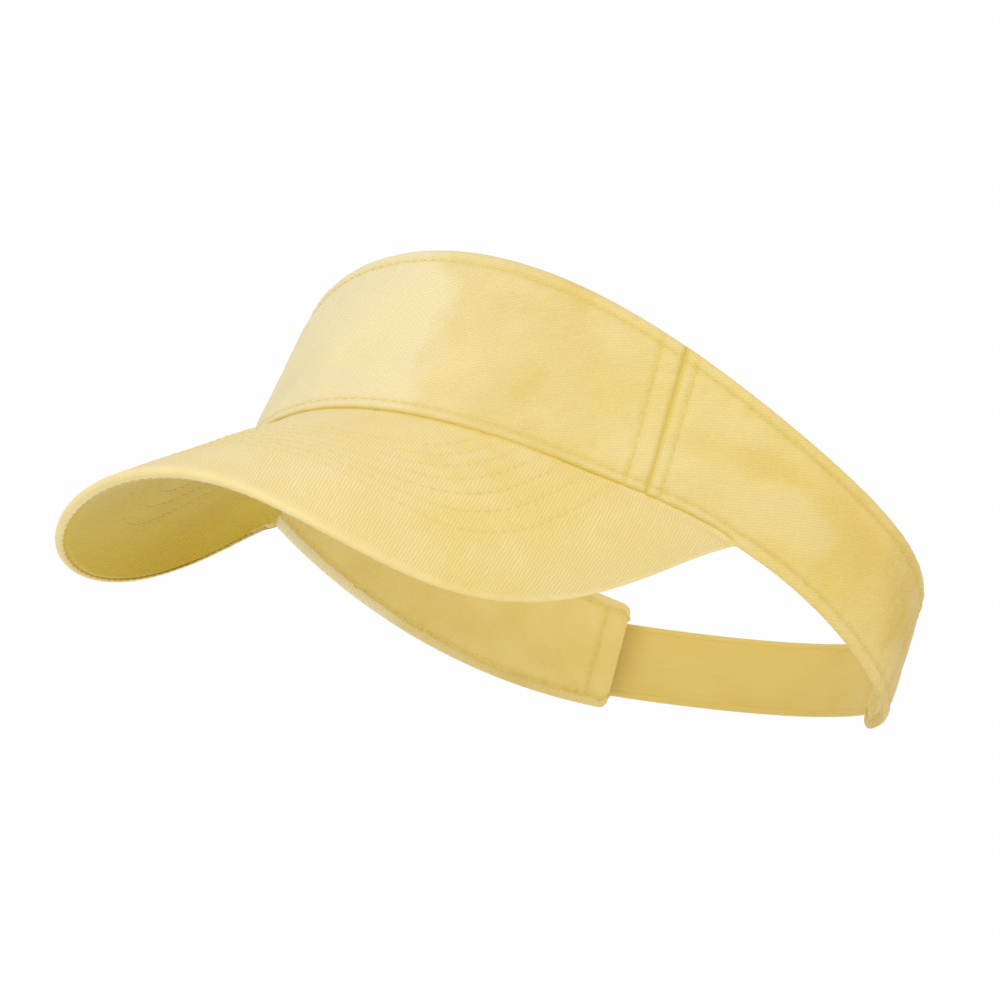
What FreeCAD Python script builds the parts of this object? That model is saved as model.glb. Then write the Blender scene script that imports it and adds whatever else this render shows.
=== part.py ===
"""Sun visor: a soft three-panel band, a curved brim and a hook-and-loop strap.

Millimetres. +Z is up, -Y is forward over the brim and +X is the wearer's left.
The band is a leaning oval cone, the brim is a patch of a torus, and every piece is
a layer of one of them, cut to its outline. The model is built about the middle of
the band, at the height where its front meets the brim. At the end it moves so that
the origin is the middle of the bounding box's bottom, where the visor lies.
"""
import FreeCAD, Part
import math
import os
import re

SIZES = {
    # The band's outer surface: an oval at height zero, and how it changes with height.
    "half_width": 82.7,
    "half_length": 108.0,
    "widen_per_mm": 0.034,
    "shorten_per_mm": 0.169,
    "lean_per_mm": 0.366,
    "reach_up": 70.0,
    "reach_down": 75.0,
    # Layers, from the outside in.
    "cloth": 0.9,
    "stiffener": 0.8,
    "thread_width": 0.5,
    "thread_height": 0.25,
    # The band's edges in side view: the heights of four evenly spaced poles each.
    "edge_front": -92.0,
    "edge_rear": 97.5,
    "upper_one": 56.1,
    "upper_two": -1.1,
    "upper_three": 1.7,
    "upper_four": -24.7,
    "lower_one": -20.3,
    "lower_two": -32.8,
    "lower_three": -53.4,
    "lower_four": -49.0,
    # Where the seams and the band's ends cross height zero, and how far they lean back.
    "seam_place": -64.0,
    "seam_tilt": 17.0,
    "left_end": 97.8,
    "right_end": 87.0,
    "end_tilt": 12.5,
    # Rows of stitching, measured from the edge or the seam beside them.
    "edge_row": 3.2,
    "seam_row_front": 5.5,
    "seam_row_rear": 3.5,
    "end_row": 5.0,
    # The brim: a patch of a torus that falls away forwards and to both sides.
    "brim_pitch": 38.0,
    "brim_roll": 80.5,
    "brim_sweep": 143.0,
    "brim_rear": -40.9,
    "brim_half_width": 78.2,
    "brim_depth": 134.6,
    "brim_side_pull": 11.0,
    "brim_side_run": 84.0,
    "brim_front_run": 70.0,
    "brim_board": 2.0,
    "board_inset": 3.0,
    "hem_row": 3.6,
    # The outermost of the brim's parallel rows, and the step inwards to each next one.
    "row_half_width": 66.5,
    "row_depth": 107.5,
    "row_side_run": 67.0,
    "row_front_run": 74.0,
    "row_pitch": 4.0,
    "row_count": 7,
    # The strap: fixed to the left end and passing outside the right end.
    "strap_low": -45.0,
    "strap_height": 21.4,
    "strap_outset": 0.3,
    "strap_sidestep": 3.6,
    "strap_tip": 48.0,
    "strap_row": 2.0,
    "tape_thickness": 1.2,
    "tape_margin": 1.7,
    "loop_front": 38.0,
    "loop_rear": 79.0,
    "hook_front": 51.0,
    "hook_rear": 76.0,
    "free_gap": 0.3,
}
REACH = 200
BOX_PRECISION = 0.05
UP = FreeCAD.Vector(0, 0, 1)
SIDES = {"left": 1, "right": -1}
SEAM_ROWS = {"front": "seam_place - seam_row_front", "rear": "seam_place + seam_row_rear"}
TORUS_Y = "-half_length - brim_sweep * sin(brim_pitch)"
TORUS_Z = "brim_sweep * cos(brim_pitch)"
DOC = FreeCAD.newDocument("sun_visor")
SHEET = DOC.addObject("Spreadsheet::Sheet", "Sizes")


def fill_sheet():
    for row, (alias, value) in enumerate(SIZES.items(), start=1):
        SHEET.set(f"A{row}", alias)
        SHEET.set(f"B{row}", str(value))
        SHEET.setAlias(f"B{row}", alias)
    DOC.recompute()


def size(alias):
    return float(SHEET.get(alias))


def make(kind, name, **formulas):
    """Add an object and bind its properties to formulas written in the sheet's names."""
    item = DOC.addObject(kind, name)
    for path, formula in formulas.items():
        bound = re.sub(r"[a-z]\w+", lambda word: f"Sizes.{word[0]}" if word[0] in SIZES else word[0], formula)
        item.setExpression(path.replace("__", "."), bound)
    return item


# ---------------------------------------------------------------- booleans

def cut(name, base, tool):
    rest = make("Part::Cut", name)
    rest.Base = base
    rest.Tool = tool
    return rest


def common(name, *solids):
    shared = make("Part::MultiCommon", name)
    shared.Shapes = list(solids)
    return shared


def fused(name, *solids):
    union = make("Part::MultiFuse", name)
    union.Shapes = list(solids)
    return union


# ---------------------------------------------------------------- solids to cut from

def oval_cone(name, outset="0", sidestep="0"):
    """The band's leaning oval cone, grown by `outset` and moved towards the right side."""
    rings = []
    for end, level in (("low", "-reach_down"), ("high", "reach_up")):
        ring = make(
            "Part::Ellipse", f"{name}_{end}",
            MajorRadius=f"half_length - shorten_per_mm * ({level}) + {outset}",
            MinorRadius=f"half_width + widen_per_mm * ({level}) + {outset}",
            Placement__Base__x=f"-1 * ({sidestep})",
            Placement__Base__y=f"lean_per_mm * ({level})",
            Placement__Base__z=f"1 * ({level})",
        )
        ring.Placement.Rotation = FreeCAD.Rotation(UP, 90)
        rings.append(ring)
    cone = make("Part::Loft", name)
    cone.Sections = rings
    cone.Solid = True
    cone.Ruled = True
    return cone


def behind(name, place, tilt="0", side=0):
    """Everything behind a plane that crosses height zero at `place` and leans back by `tilt`.

    side is -1 for the wearer's right half only, 1 for the left half and 0 for both.
    """
    block = make(
        "Part::Box", name,
        Placement__Base__y=f"{place} - {REACH} * tan({tilt})",
        Placement__Rotation__Angle=f"-1 * {tilt}",
    )
    block.Length = REACH if side else 2 * REACH
    block.Width = block.Height = 2 * REACH
    block.Placement.Base.x = 0 if side == 1 else -REACH
    block.Placement.Base.z = -REACH
    block.Placement.Rotation.Axis = FreeCAD.Vector(1, 0, 0)
    return block


def level_slab(name, low, height):
    slab = make("Part::Box", name, Height=height, Placement__Base__z=low)
    slab.Length = slab.Width = 2 * REACH
    slab.Placement.Base.x = slab.Placement.Base.y = -REACH
    return slab


def row_slab(name, place, tilt="0", side=0, width="thread_width"):
    """The space between a plane and the same plane further back by `width`."""
    near = behind(f"{name}_near", place, tilt, side)
    far = behind(f"{name}_far", f"{place} + {width}", tilt, side)
    return cut(name, near, far)


def bezier(poles):
    curve = Part.BezierCurve()
    curve.setPoles(poles)
    return curve.toShape()


def closed_face(*edges):
    """One flat face inside edges given in order, with straight lines over their gaps."""
    chain = []
    for edge, following in zip(edges, edges[1:] + edges[:1]):
        finish = edge.valueAt(edge.LastParameter)
        start = following.valueAt(following.FirstParameter)
        chain.append(edge)
        if finish.distanceToPoint(start) > 1e-6:
            chain.append(Part.makeLine(finish, start))
    return Part.Face(Part.Wire(chain))


def pushed(name, face, direction, length):
    flat = make("Part::Feature", f"{name}_face")
    flat.Shape = face
    prism = make("Part::Extrusion", name, LengthFwd=length)
    prism.Base = flat
    prism.DirMode = "Custom"
    prism.Dir = direction
    prism.Solid = True
    return prism


def pushed_sideways(name, face):
    return pushed(name, face, FreeCAD.Vector(1, 0, 0), f"2 * {REACH}")


def edge_poles(which, shift=0.0):
    """The four poles of the band's upper or lower edge in side view, moved up by `shift`."""
    front = size("edge_front") if which == "upper" else size("brim_rear")
    step = (size("edge_rear") - front) / 3
    return [
        FreeCAD.Vector(-REACH, front + step * index, size(f"{which}_{number}") + shift)
        for index, number in enumerate(("one", "two", "three", "four"))
    ]


def band_profile():
    """Side view of the band. In front it reaches a little below the brim's upper face."""
    front = -size("half_length") - 20
    below = size("lower_one") - 5
    upper = bezier(edge_poles("upper"))
    lower = bezier(edge_poles("lower")[::-1])
    floor = Part.makeLine(
        FreeCAD.Vector(-REACH, size("brim_rear"), below),
        FreeCAD.Vector(-REACH, front, below),
    )
    nose = Part.makeLine(
        FreeCAD.Vector(-REACH, front, below),
        FreeCAD.Vector(-REACH, front, size("upper_one")),
    )
    return pushed_sideways("band_profile", closed_face(upper, lower, floor, nose))


def edge_strip(name, which, low, high):
    """A strip between two distances from one of the band's edges, measured upwards."""
    near = bezier(edge_poles(which, low))
    far = bezier(edge_poles(which, high)[::-1])
    return pushed_sideways(name, closed_face(near, far))


def brim_torus(name, raised="0", rise="0"):
    """The torus whose inner side is the brim's upper face.

    `raised` moves that side towards the torus's axis, square to the brim's middle line.
    `rise` moves the whole torus up along the lean of the band's front.
    """
    torus = make(
        "Part::Torus", name,
        Radius1=f"brim_sweep + brim_roll - ({raised})",
        Radius2="brim_roll",
        Placement__Base__y=f"{TORUS_Y} + (lean_per_mm + shorten_per_mm) * ({rise})",
        Placement__Base__z=f"{TORUS_Z} + {rise}",
    )
    torus.Placement.Rotation = FreeCAD.Rotation(FreeCAD.Vector(0, 1, 0), 90)
    return torus


def brim_plan(name, half, depth, side_run, front_run):
    """A shape in plan, pushed upwards: two mirrored curves and a straight back."""
    rear = size("brim_rear")
    front = rear - depth
    sides = [
        bezier([
            FreeCAD.Vector(side * half, rear, -REACH),
            FreeCAD.Vector(side * (half - size("brim_side_pull")), rear - side_run, -REACH),
            FreeCAD.Vector(side * front_run, front, -REACH),
            FreeCAD.Vector(0, front, -REACH),
        ][::side])
        for side in (1, -1)
    ]
    return pushed(name, closed_face(*sides), UP, f"{REACH} + reach_up")


def brim_outline(name, inset=0.0):
    """The brim's own outline, drawn in by `inset`."""
    return brim_plan(
        name,
        half=size("brim_half_width") - inset,
        depth=size("brim_depth") - inset,
        side_run=size("brim_side_run"),
        front_run=size("brim_front_run") - inset,
    )


def row_outline(name, inset=0.0):
    """The outline of the brim's outermost parallel row, drawn in by `inset`."""
    return brim_plan(
        name,
        half=size("row_half_width") - inset,
        depth=size("row_depth") - inset,
        side_run=size("row_side_run") - inset / 2,
        front_run=size("row_front_run") - inset,
    )


# ---------------------------------------------------------------- shared tools

class Tools:
    """Solids that several pieces are cut from or cut with."""

    def __init__(self):
        self.outside = oval_cone("outside")
        self.thread_top = oval_cone("thread_top", "thread_height")
        self.under_cloth = oval_cone("under_cloth", "-cloth")
        self.side_inside = oval_cone("side_inside", "-2 * cloth")
        self.under_stiffener = oval_cone("under_stiffener", "-cloth - stiffener")
        self.front_inside = oval_cone("front_inside", "-2 * cloth - stiffener")
        self.behind_brim = behind("behind_brim", "brim_rear")
        self.behind_seam = behind("behind_seam", "seam_place", "seam_tilt")
        self.beyond_end = {
            name: behind(f"beyond_{name}_end", f"{name}_end", "end_tilt", side)
            for name, side in SIDES.items()
        }
        brim_bed = cut("brim_bed", brim_torus("bed_torus"), self.behind_brim)
        self.band_shape = cut("band_shape", band_profile(), brim_bed)
        self.outer_skin = cut("outer_skin", self.thread_top, self.outside)


# ---------------------------------------------------------------- the band

def build_band(tools):
    """Three outer panels, the stiffener behind the front one and three facings."""
    outer_layer = cut("outer_layer", tools.outside, tools.under_cloth)
    stiffener_layer = cut("stiffener_layer", tools.under_cloth, tools.under_stiffener)
    front_layer = cut("front_facing_layer", tools.under_stiffener, tools.front_inside)
    side_layer = cut("side_facing_layer", tools.under_cloth, tools.side_inside)
    pieces = []
    for name, layer in (
        ("front_panel", outer_layer),
        ("front_stiffener", stiffener_layer),
        ("front_facing", front_layer),
    ):
        pieces.append(cut(name, common(f"{name}_ring", layer, tools.band_shape), tools.behind_seam))
    for name, side in SIDES.items():
        half = behind(f"{name}_half", "seam_place", "seam_tilt", side)
        for piece, layer in ((f"{name}_side_panel", outer_layer), (f"{name}_facing", side_layer)):
            wing = common(f"{piece}_wing", layer, tools.band_shape, half)
            pieces.append(cut(piece, wing, tools.beyond_end[name]))
    return pieces


def row_gaps():
    """Where the edge rows stop: at the end rows, and at each crossing with a seam row."""
    gaps = []
    for name, side in SIDES.items():
        gaps.append(behind(f"{name}_corner", f"{name}_end - end_row - thread_width", "end_tilt", side))
        for part, place in SEAM_ROWS.items():
            start = f"{place} - thread_width"
            gaps.append(row_slab(f"{name}_crossing_{part}", start, "seam_tilt", side, "3 * thread_width"))
    return fused("row_gaps", *gaps)


def build_band_threads(tools):
    """Rows of stitching that stand on the outer panels."""
    gaps = row_gaps()
    edge_row, thread = size("edge_row"), size("thread_width")
    upper_strip = edge_strip("upper_strip", "upper", -edge_row, thread - edge_row)
    upper_row = common("upper_row", tools.outer_skin, upper_strip)
    skin = common("band_skin", tools.outer_skin, tools.band_shape)
    low_torus = brim_torus("row_torus_low", rise="edge_row")
    high_torus = brim_torus("row_torus_high", rise="edge_row + thread_width")
    front_row = cut("front_row", common("front_row_top", skin, high_torus), low_torus)
    front_row = cut("front_row_end", front_row, tools.behind_brim)
    lower_strip = edge_strip("lower_strip", "lower", edge_row, edge_row + thread)
    rear_row = common("rear_row", skin, lower_strip, tools.behind_brim)
    lower_row = fused("lower_row", front_row, rear_row)
    pieces = [cut("upper_edge_thread", upper_row, gaps), cut("lower_edge_thread", lower_row, gaps)]
    for name, side in SIDES.items():
        rows = fused(f"{name}_seam_rows", *(
            row_slab(f"{name}_row_{part}", place, "seam_tilt", side)
            for part, place in SEAM_ROWS.items()
        ))
        pieces.append(common(f"{name}_seam_thread", skin, rows))
        end_row = row_slab(f"{name}_end_row", f"{name}_end - end_row", "end_tilt", side)
        pieces.append(common(f"{name}_end_thread", skin, end_row))
    return pieces


# ---------------------------------------------------------------- the brim

def brim_layer(name, top, bottom, inset, tools):
    """A layer of the brim between two depths, inset from its outline, open to the band."""
    upper_half = tools.brim_upper_half
    shell = cut(f"{name}_shell", brim_torus(f"{name}_top", top), brim_torus(f"{name}_bottom", bottom))
    plate = common(f"{name}_plate", shell, upper_half, brim_outline(f"{name}_outline", inset))
    return cut(f"{name}_layer", plate, tools.front_inside)


def build_brim(tools):
    """The board, the cover that wraps its top and edge, and the cover under it."""
    cloth = size("cloth")
    tools.brim_upper_half = make(
        "Part::Cylinder", "brim_upper_half",
        Radius="brim_sweep + brim_roll",
        Placement__Base__y=TORUS_Y,
        Placement__Base__z=TORUS_Z,
    )
    tools.brim_upper_half.Height = 2 * REACH
    tools.brim_upper_half.Placement.Base.x = -REACH
    tools.brim_upper_half.Placement.Rotation = FreeCAD.Rotation(FreeCAD.Vector(0, 1, 0), 90)
    full = brim_layer("whole_brim", "0", "-2 * cloth - brim_board", 0, tools)
    core = brim_layer("brim_core", "-cloth", "-2 * cloth - brim_board - 1", cloth, tools)
    board = brim_layer("brim_board", "-cloth", "-cloth - brim_board", size("board_inset"), tools)
    lower = brim_layer("brim_lower", "-cloth - brim_board", "-2 * cloth - brim_board", cloth, tools)
    top_cover = cut("brim_top_cover", full, core)
    board.Label = "brim_board"
    lower.Label = "brim_bottom_cover"
    return [top_cover, board, lower]


def outline_wall(name, outline, inset):
    """An upright wall one thread thick that follows an outline at an inset."""
    outer = outline(f"{name}_outer", inset)
    inner = outline(f"{name}_inner", inset + size("thread_width"))
    return cut(name, outer, inner)


def build_brim_threads(tools):
    """Parallel rows on the brim's top and one row that holds the hem under its edge."""
    top_skin = cut("brim_top_skin", brim_torus("row_top", "thread_height"), brim_torus("row_base"))
    walls = [
        outline_wall(f"row_wall_{index}", row_outline, size("row_pitch") * index)
        for index in range(int(size("row_count")))
    ]
    rows = common("brim_rows", top_skin, tools.brim_upper_half, fused("row_walls", *walls))
    hem_skin = cut(
        "hem_skin",
        brim_torus("hem_top", "-2 * cloth - brim_board"),
        brim_torus("hem_base", "-2 * cloth - brim_board - thread_height"),
    )
    hem_wall = outline_wall("hem_wall", brim_outline, size("hem_row"))
    hem = common("brim_hem", hem_skin, tools.brim_upper_half, hem_wall)
    return [
        cut("brim_row_thread", rows, tools.thread_top),
        cut("brim_hem_thread", hem, tools.outside),
    ]


# ---------------------------------------------------------------- the closing strap

def build_loop_strip(tools):
    """Soft half of the closure, sewn outside the right end of the band above its lower row."""
    raised = oval_cone("loop_face", "tape_thickness")
    slab = level_slab("loop_slab", "strap_low + tape_margin", "strap_height - 2 * tape_margin")
    front = behind("loop_start", "loop_front", "end_tilt", SIDES["right"])
    rear = behind("loop_stop", "loop_rear", "end_tilt", SIDES["right"])
    row, thread = size("edge_row"), size("thread_width")
    below_row = edge_strip("loop_below_row", "lower", -row, row + 2 * thread)
    layer = cut("loop_layer", raised, tools.outside)
    length = common("loop_length", layer, slab, front, tools.band_shape)
    return cut("loop_strip", length, fused("loop_waste", rear, below_row))


def build_strap():
    """Two layers of folded cloth, the hook strip and the rows along their edges."""
    far = oval_cone("strap_far", "strap_outset + 2 * cloth", "strap_sidestep")
    middle = oval_cone("strap_middle", "strap_outset + cloth", "strap_sidestep")
    near = oval_cone("strap_near", "strap_outset", "strap_sidestep")
    thread_face = oval_cone("strap_thread_face", "strap_outset + 2 * cloth + thread_height", "strap_sidestep")
    hook_face = oval_cone("hook_face", "strap_outset - tape_thickness", "strap_sidestep")
    length = fused(
        "strap_length",
        behind("strap_root", "left_end + free_gap", "end_tilt", SIDES["left"]),
        behind("strap_free_end", "strap_tip", "end_tilt", SIDES["right"]),
    )
    slab = level_slab("strap_slab", "strap_low", "strap_height")
    tape_slab = level_slab("hook_slab", "strap_low + tape_margin", "strap_height - 2 * tape_margin")
    hook_length = cut(
        "hook_length",
        behind("hook_start", "hook_front", "end_tilt", SIDES["right"]),
        behind("hook_stop", "hook_rear", "end_tilt", SIDES["right"]),
    )
    rows = fused(
        "strap_rows",
        level_slab("strap_row_low", "strap_low + strap_row", "thread_width"),
        level_slab("strap_row_high", "strap_low + strap_height - strap_row", "thread_width"),
    )
    return [
        common("strap_outer_layer", cut("strap_outer", far, middle), slab, length),
        common("strap_inner_layer", cut("strap_inner", middle, near), slab, length),
        common("hook_strip", cut("hook_layer", near, hook_face), tape_slab, hook_length),
        common("strap_edge_thread", cut("strap_skin", thread_face, far), rows, length),
    ]


# ---------------------------------------------------------------- checks and files

def check_document():
    for item in DOC.Objects:
        if "Invalid" in item.State or "Error" in item.State:
            raise RuntimeError(f"{item.Name} failed: {item.State}")


def move_to_frame(pieces):
    """Bring the middle of the bounding box's bottom to the origin."""
    whole = FreeCAD.BoundBox()
    for piece in pieces:
        for point in piece.Shape.tessellate(BOX_PRECISION)[0]:
            whole.add(point)
    shift = FreeCAD.Vector(-whole.Center.x, -whole.Center.y, -whole.ZMin)
    for piece in pieces:
        piece.Placement.Base = shift
    DOC.recompute()
    print("size", [round(side, 2) for side in (whole.XLength, whole.YLength, whole.ZLength)])
    return shift


def print_hinge(shift):
    """The strap turns about the outer corner of the band's left end."""
    points = []
    for height in (size("strap_low"), size("strap_low") + size("strap_height")):
        place = size("left_end") + height * math.tan(math.radians(size("end_tilt")))
        half_length = size("half_length") - size("shorten_per_mm") * height
        half_width = size("half_width") + size("widen_per_mm") * height
        rearward = (place - size("lean_per_mm") * height) / half_length
        points.append(FreeCAD.Vector(half_width * math.sqrt(1 - rearward ** 2), place, height))
    middle = (points[0] + points[1]) / 2 + shift
    axis = (points[0] - points[1]).normalize()
    print("hinge", [round(value, 3) for value in middle], "axis", [round(value, 4) for value in axis])


def write_parts(pieces):
    os.makedirs("parts", exist_ok=True)
    for piece in pieces:
        shape = piece.Shape
        if shape.isNull() or not shape.isValid() or shape.Volume <= 0:
            raise RuntimeError(f"{piece.Label} has no valid solid")
        print(f"{piece.Label}: {len(shape.Solids)} solids, {shape.Volume:.1f} mm3")
        shape.exportStep(f"parts/{piece.Label}.step")


def main():
    fill_sheet()
    tools = Tools()
    pieces = build_band(tools)
    pieces += build_band_threads(tools)
    pieces += build_brim(tools)
    pieces += build_brim_threads(tools)
    pieces.append(build_loop_strip(tools))
    pieces += build_strap()
    DOC.recompute()
    check_document()
    shift = move_to_frame(pieces)
    check_document()
    print_hinge(shift)
    write_parts(pieces)


main()
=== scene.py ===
import math

import bpy
import numpy as np
from mathutils import Matrix, Vector
from mathutils.kdtree import KDTree


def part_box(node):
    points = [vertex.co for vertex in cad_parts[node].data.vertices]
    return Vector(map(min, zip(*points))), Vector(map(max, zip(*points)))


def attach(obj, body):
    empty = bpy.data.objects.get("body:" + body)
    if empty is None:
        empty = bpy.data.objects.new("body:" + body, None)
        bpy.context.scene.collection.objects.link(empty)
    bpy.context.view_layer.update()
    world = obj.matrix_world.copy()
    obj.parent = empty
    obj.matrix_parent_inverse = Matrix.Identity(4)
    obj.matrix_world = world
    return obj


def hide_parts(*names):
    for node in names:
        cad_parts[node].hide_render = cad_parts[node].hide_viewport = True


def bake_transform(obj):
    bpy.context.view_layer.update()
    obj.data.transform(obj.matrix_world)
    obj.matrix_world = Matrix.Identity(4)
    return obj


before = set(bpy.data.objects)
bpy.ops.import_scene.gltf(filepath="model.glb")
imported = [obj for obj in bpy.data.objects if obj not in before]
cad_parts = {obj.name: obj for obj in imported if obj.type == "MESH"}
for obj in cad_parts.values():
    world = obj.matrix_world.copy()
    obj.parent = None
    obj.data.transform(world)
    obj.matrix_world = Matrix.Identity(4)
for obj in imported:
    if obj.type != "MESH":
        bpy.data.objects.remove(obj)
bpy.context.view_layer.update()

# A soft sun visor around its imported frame. Metres; +Z is up, -Y is forward over the
# brim and +X is the wearer's left. Shapes are written about the model's own middle,
# where the front of the band meets the brim, and moved into the frame by ORIGIN.

MM = 0.001

# ---------------------------------------------------------------- driving sizes

# The band's outer surface: an oval that changes evenly with height, as in the CAD.
HALF_WIDTH = 82.7 * MM
HALF_LENGTH = 108.0 * MM
WIDEN = 0.034
SHORTEN = 0.169
LEAN = 0.366
# Heights of the edges' four poles in side view, and where the poles start and stop.
EDGE_FRONT = -92.0 * MM
EDGE_REAR = 97.5 * MM
UPPER_POLES = [56.1 * MM, -1.1 * MM, 1.7 * MM, -24.7 * MM]
LOWER_POLES = [-20.3 * MM, -32.8 * MM, -53.4 * MM, -49.0 * MM]
# Planes that cut the band: where they cross height zero and how far they lean back.
SEAM = (-64.0 * MM, math.radians(17.0))
LEFT_END = (97.8 * MM, math.radians(12.5))
RIGHT_END = (87.0 * MM, math.radians(12.5))
STRAP_TIP = (48.0 * MM, math.radians(12.5))
LEFT_CORNER = 4.0 * MM
RIGHT_CORNER = 1.8 * MM
# Layers and rows of stitching.
CLOTH = 0.7 * MM
BRIM_CLOTH = 0.5 * MM
LIP = 1.2 * MM
FRONT_DEPTH = 2.6 * MM
SIDE_DEPTH = 1.8 * MM
EDGE_ROW = 3.2 * MM
SEAM_ROW_FRONT = 5.5 * MM
SEAM_ROW_REAR = 3.5 * MM
END_ROW = 5.0 * MM
# The brim's upper face: the inner side of a torus round an axis along X.
ROLL = 80.5 * MM
SWEEP = 143.0 * MM
PITCH = math.radians(38.0)
AXIS_Y = -HALF_LENGTH - SWEEP * math.sin(PITCH)
AXIS_Z = SWEEP * math.cos(PITCH)
RING = SWEEP + ROLL
BRIM_REAR = -40.9 * MM
BRIM_HALF = 78.2 * MM
BRIM_LENGTH = 134.6 * MM
SIDE_PULL = 11.0 * MM
SIDE_RUN = 84.0 * MM
FRONT_RUN = 70.0 * MM
BRIM_DEPTH = 3.8 * MM
BRIM_EDGE_DEPTH = 2.5 * MM
BRIM_SWELL = 5.0 * MM
# Half the thickness of its rounded edge at a corner and along the sides.
CORNER_EDGE = 0.3 * MM
SIDE_EDGE = 0.65 * MM
# How far the covers reach in behind the band's face.
SEAM_TUCK = 1.2 * MM
# How far the lower cover's face lies inside the brim's full depth.
UNDERSIDE_LIFT = 0.30 * MM
FOOT_HALF = 80.0 * MM
BOARD = 2.0 * MM
BOARD_INSET = 3.0 * MM
BOARD_SINK = 0.7 * MM
BOARD_CLEARANCE = 1.8 * MM
# How far in the hem's row lies below, from where the rounded edge ends.
HEM_ROW = 0.8 * MM
# The outermost of the brim's parallel rows.
ROW_HALF = 66.5 * MM
ROW_LENGTH = 107.5 * MM
ROW_SIDE_RUN = 67.0 * MM
ROW_FRONT_RUN = 74.0 * MM
ROW_STEP = 4.0 * MM
ROW_COUNT = 7
# The strap is the band's oval, grown a little and moved towards the wearer's right.
STRAP_LOW = -45.0 * MM
STRAP_HEIGHT = 21.4 * MM
STRAP_TOP = STRAP_LOW + STRAP_HEIGHT
STRAP_MIDDLE = STRAP_LOW + STRAP_HEIGHT / 2
STRAP_ROOT = 9.0 * MM
STRAP_OUTSET = 0.3 * MM
STRAP_SIDESTEP = 3.6 * MM
STRAP_DEPTH = 1.8 * MM
STRAP_PRESSED = 0.8 * MM
STRAP_LIP = 0.8 * MM
LINING_MARGIN = 1.3 * MM
STRAP_ROW = 2.2 * MM
# The tip's rounded corners: their height, and their length as a share of the strap's.
STRAP_CORNER = 3.5 * MM
TIP_SHARE = 0.01522
# The closure climbs a little towards its front, out of sight behind the band.
CLOSURE_CLIMB = 4.5 * MM
# Tapes of the closure, between planes on the right side.
TAPE_MARGIN = 1.7 * MM
TAPE_CLOTH = 0.5 * MM
TAPE_ROUND = 0.35 * MM
LOOP_FACE = 0.45 * MM
LOOP_SPAN = (38.0 * MM, 79.0 * MM)
HOOK_SPAN = (51.0 * MM, 76.0 * MM)
TAPE_TILT = math.radians(12.5)
# Thread.
STITCH = 2.5 * MM
STITCH_GAP = 0.7 * MM
THREAD = 0.38 * MM
# The inner row of a pair starts this much later than the outer one.
INNER_START = 1.4 * MM

LEFT = 1
RIGHT = -1
SIDES = (("left", LEFT, LEFT_END), ("right", RIGHT, RIGHT_END))


def model_origin():
    """Where the model's own middle lies in the frame, from three packed boxes."""
    brim_low, brim_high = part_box("brim_top_cover")
    strap_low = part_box("strap_outer_layer")[0]
    return np.array([
        (brim_low.x + brim_high.x) / 2,
        brim_low.y - (BRIM_REAR - BRIM_LENGTH),
        strap_low.z - STRAP_LOW,
    ])


ORIGIN = model_origin()


# ---------------------------------------------------------------- small mathematics

def mix(start, finish, share):
    return start + (finish - start) * share


def bezier(poles, share):
    rest = 1 - share
    return (
        poles[0] * rest ** 3 + 3 * poles[1] * share * rest ** 2
        + 3 * poles[2] * share ** 2 * rest + poles[3] * share ** 3
    )


def bell(distance, width):
    """1 at distance zero, falling smoothly to nothing over about two widths."""
    return np.exp(-(distance / width) ** 2)


def smooth(value, low, high):
    share = np.clip((value - low) / (high - low), 0, 1)
    return share * share * (3 - 2 * share)


def held_between(value, low, high):
    """Keeps a relief inside two limits without a sharp corner."""
    value = np.where(value > 0, high * np.tanh(value / high), value)
    return np.where(value < 0, low * np.tanh(value / low), value)


def unit(vectors):
    return vectors / np.maximum(np.linalg.norm(vectors, axis=-1, keepdims=True), 1e-12)


def away_from_head(angle):
    """The level direction outwards at an angle round the band."""
    return unit(np.stack([np.sin(angle), -np.cos(angle), 0 * angle], -1))


def along_band(angle):
    return unit(np.stack([np.cos(angle), np.sin(angle), 0 * angle], -1))


class Ripples:
    """A smooth random field: waves of about one length in random directions."""

    def __init__(self, seed, length, waves=14):
        draw = np.random.default_rng(seed)
        lengths = length * draw.uniform(0.7, 1.5, waves)
        turns = draw.uniform(0, 2 * math.pi, waves)
        self.across = 2 * math.pi / lengths * np.cos(turns)
        self.along = 2 * math.pi / lengths * np.sin(turns)
        self.phase = draw.uniform(0, 2 * math.pi, waves)

    def __call__(self, across, along):
        total = 0
        for k_across, k_along, phase in zip(self.across, self.along, self.phase):
            total = total + np.cos(k_across * across + k_along * along + phase)
        return total / math.sqrt(len(self.phase) / 2)


# ---------------------------------------------------------------- the brim's surface

def brim_height(x, y):
    """Height of the brim's upper face over a point in plan."""
    inner = RING - np.sqrt(np.maximum(ROLL ** 2 - x ** 2, 0))
    return AXIS_Z - np.sqrt(np.maximum(inner ** 2 - (y - AXIS_Y) ** 2, 0))


def brim_turns(x, y):
    """A point in plan as turns round the torus's tube and round its axis."""
    roll = np.arcsin(np.clip(x / ROLL, -1, 1))
    sweep = np.arcsin(np.clip((y - AXIS_Y) / (RING - ROLL * np.cos(roll)), -1, 1))
    return roll, sweep


def full_brim_depth(roll):
    """Thickness of the brim over its board, square to its face; less towards the sides."""
    return BRIM_DEPTH * np.cos(roll) ** 0.45


def brim_normal(roll, sweep):
    return np.stack([
        np.sin(roll),
        -np.cos(roll) * np.sin(sweep),
        np.cos(roll) * np.cos(sweep),
    ], -1)


def brim_point(x, y, lift):
    roll, sweep = brim_turns(x, y)
    centre = np.stack([0 * x, AXIS_Y + RING * np.sin(sweep), AXIS_Z - RING * np.cos(sweep)], -1)
    return centre + (ROLL + lift + brim_swell(x, y))[..., None] * brim_normal(roll, sweep)


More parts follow.
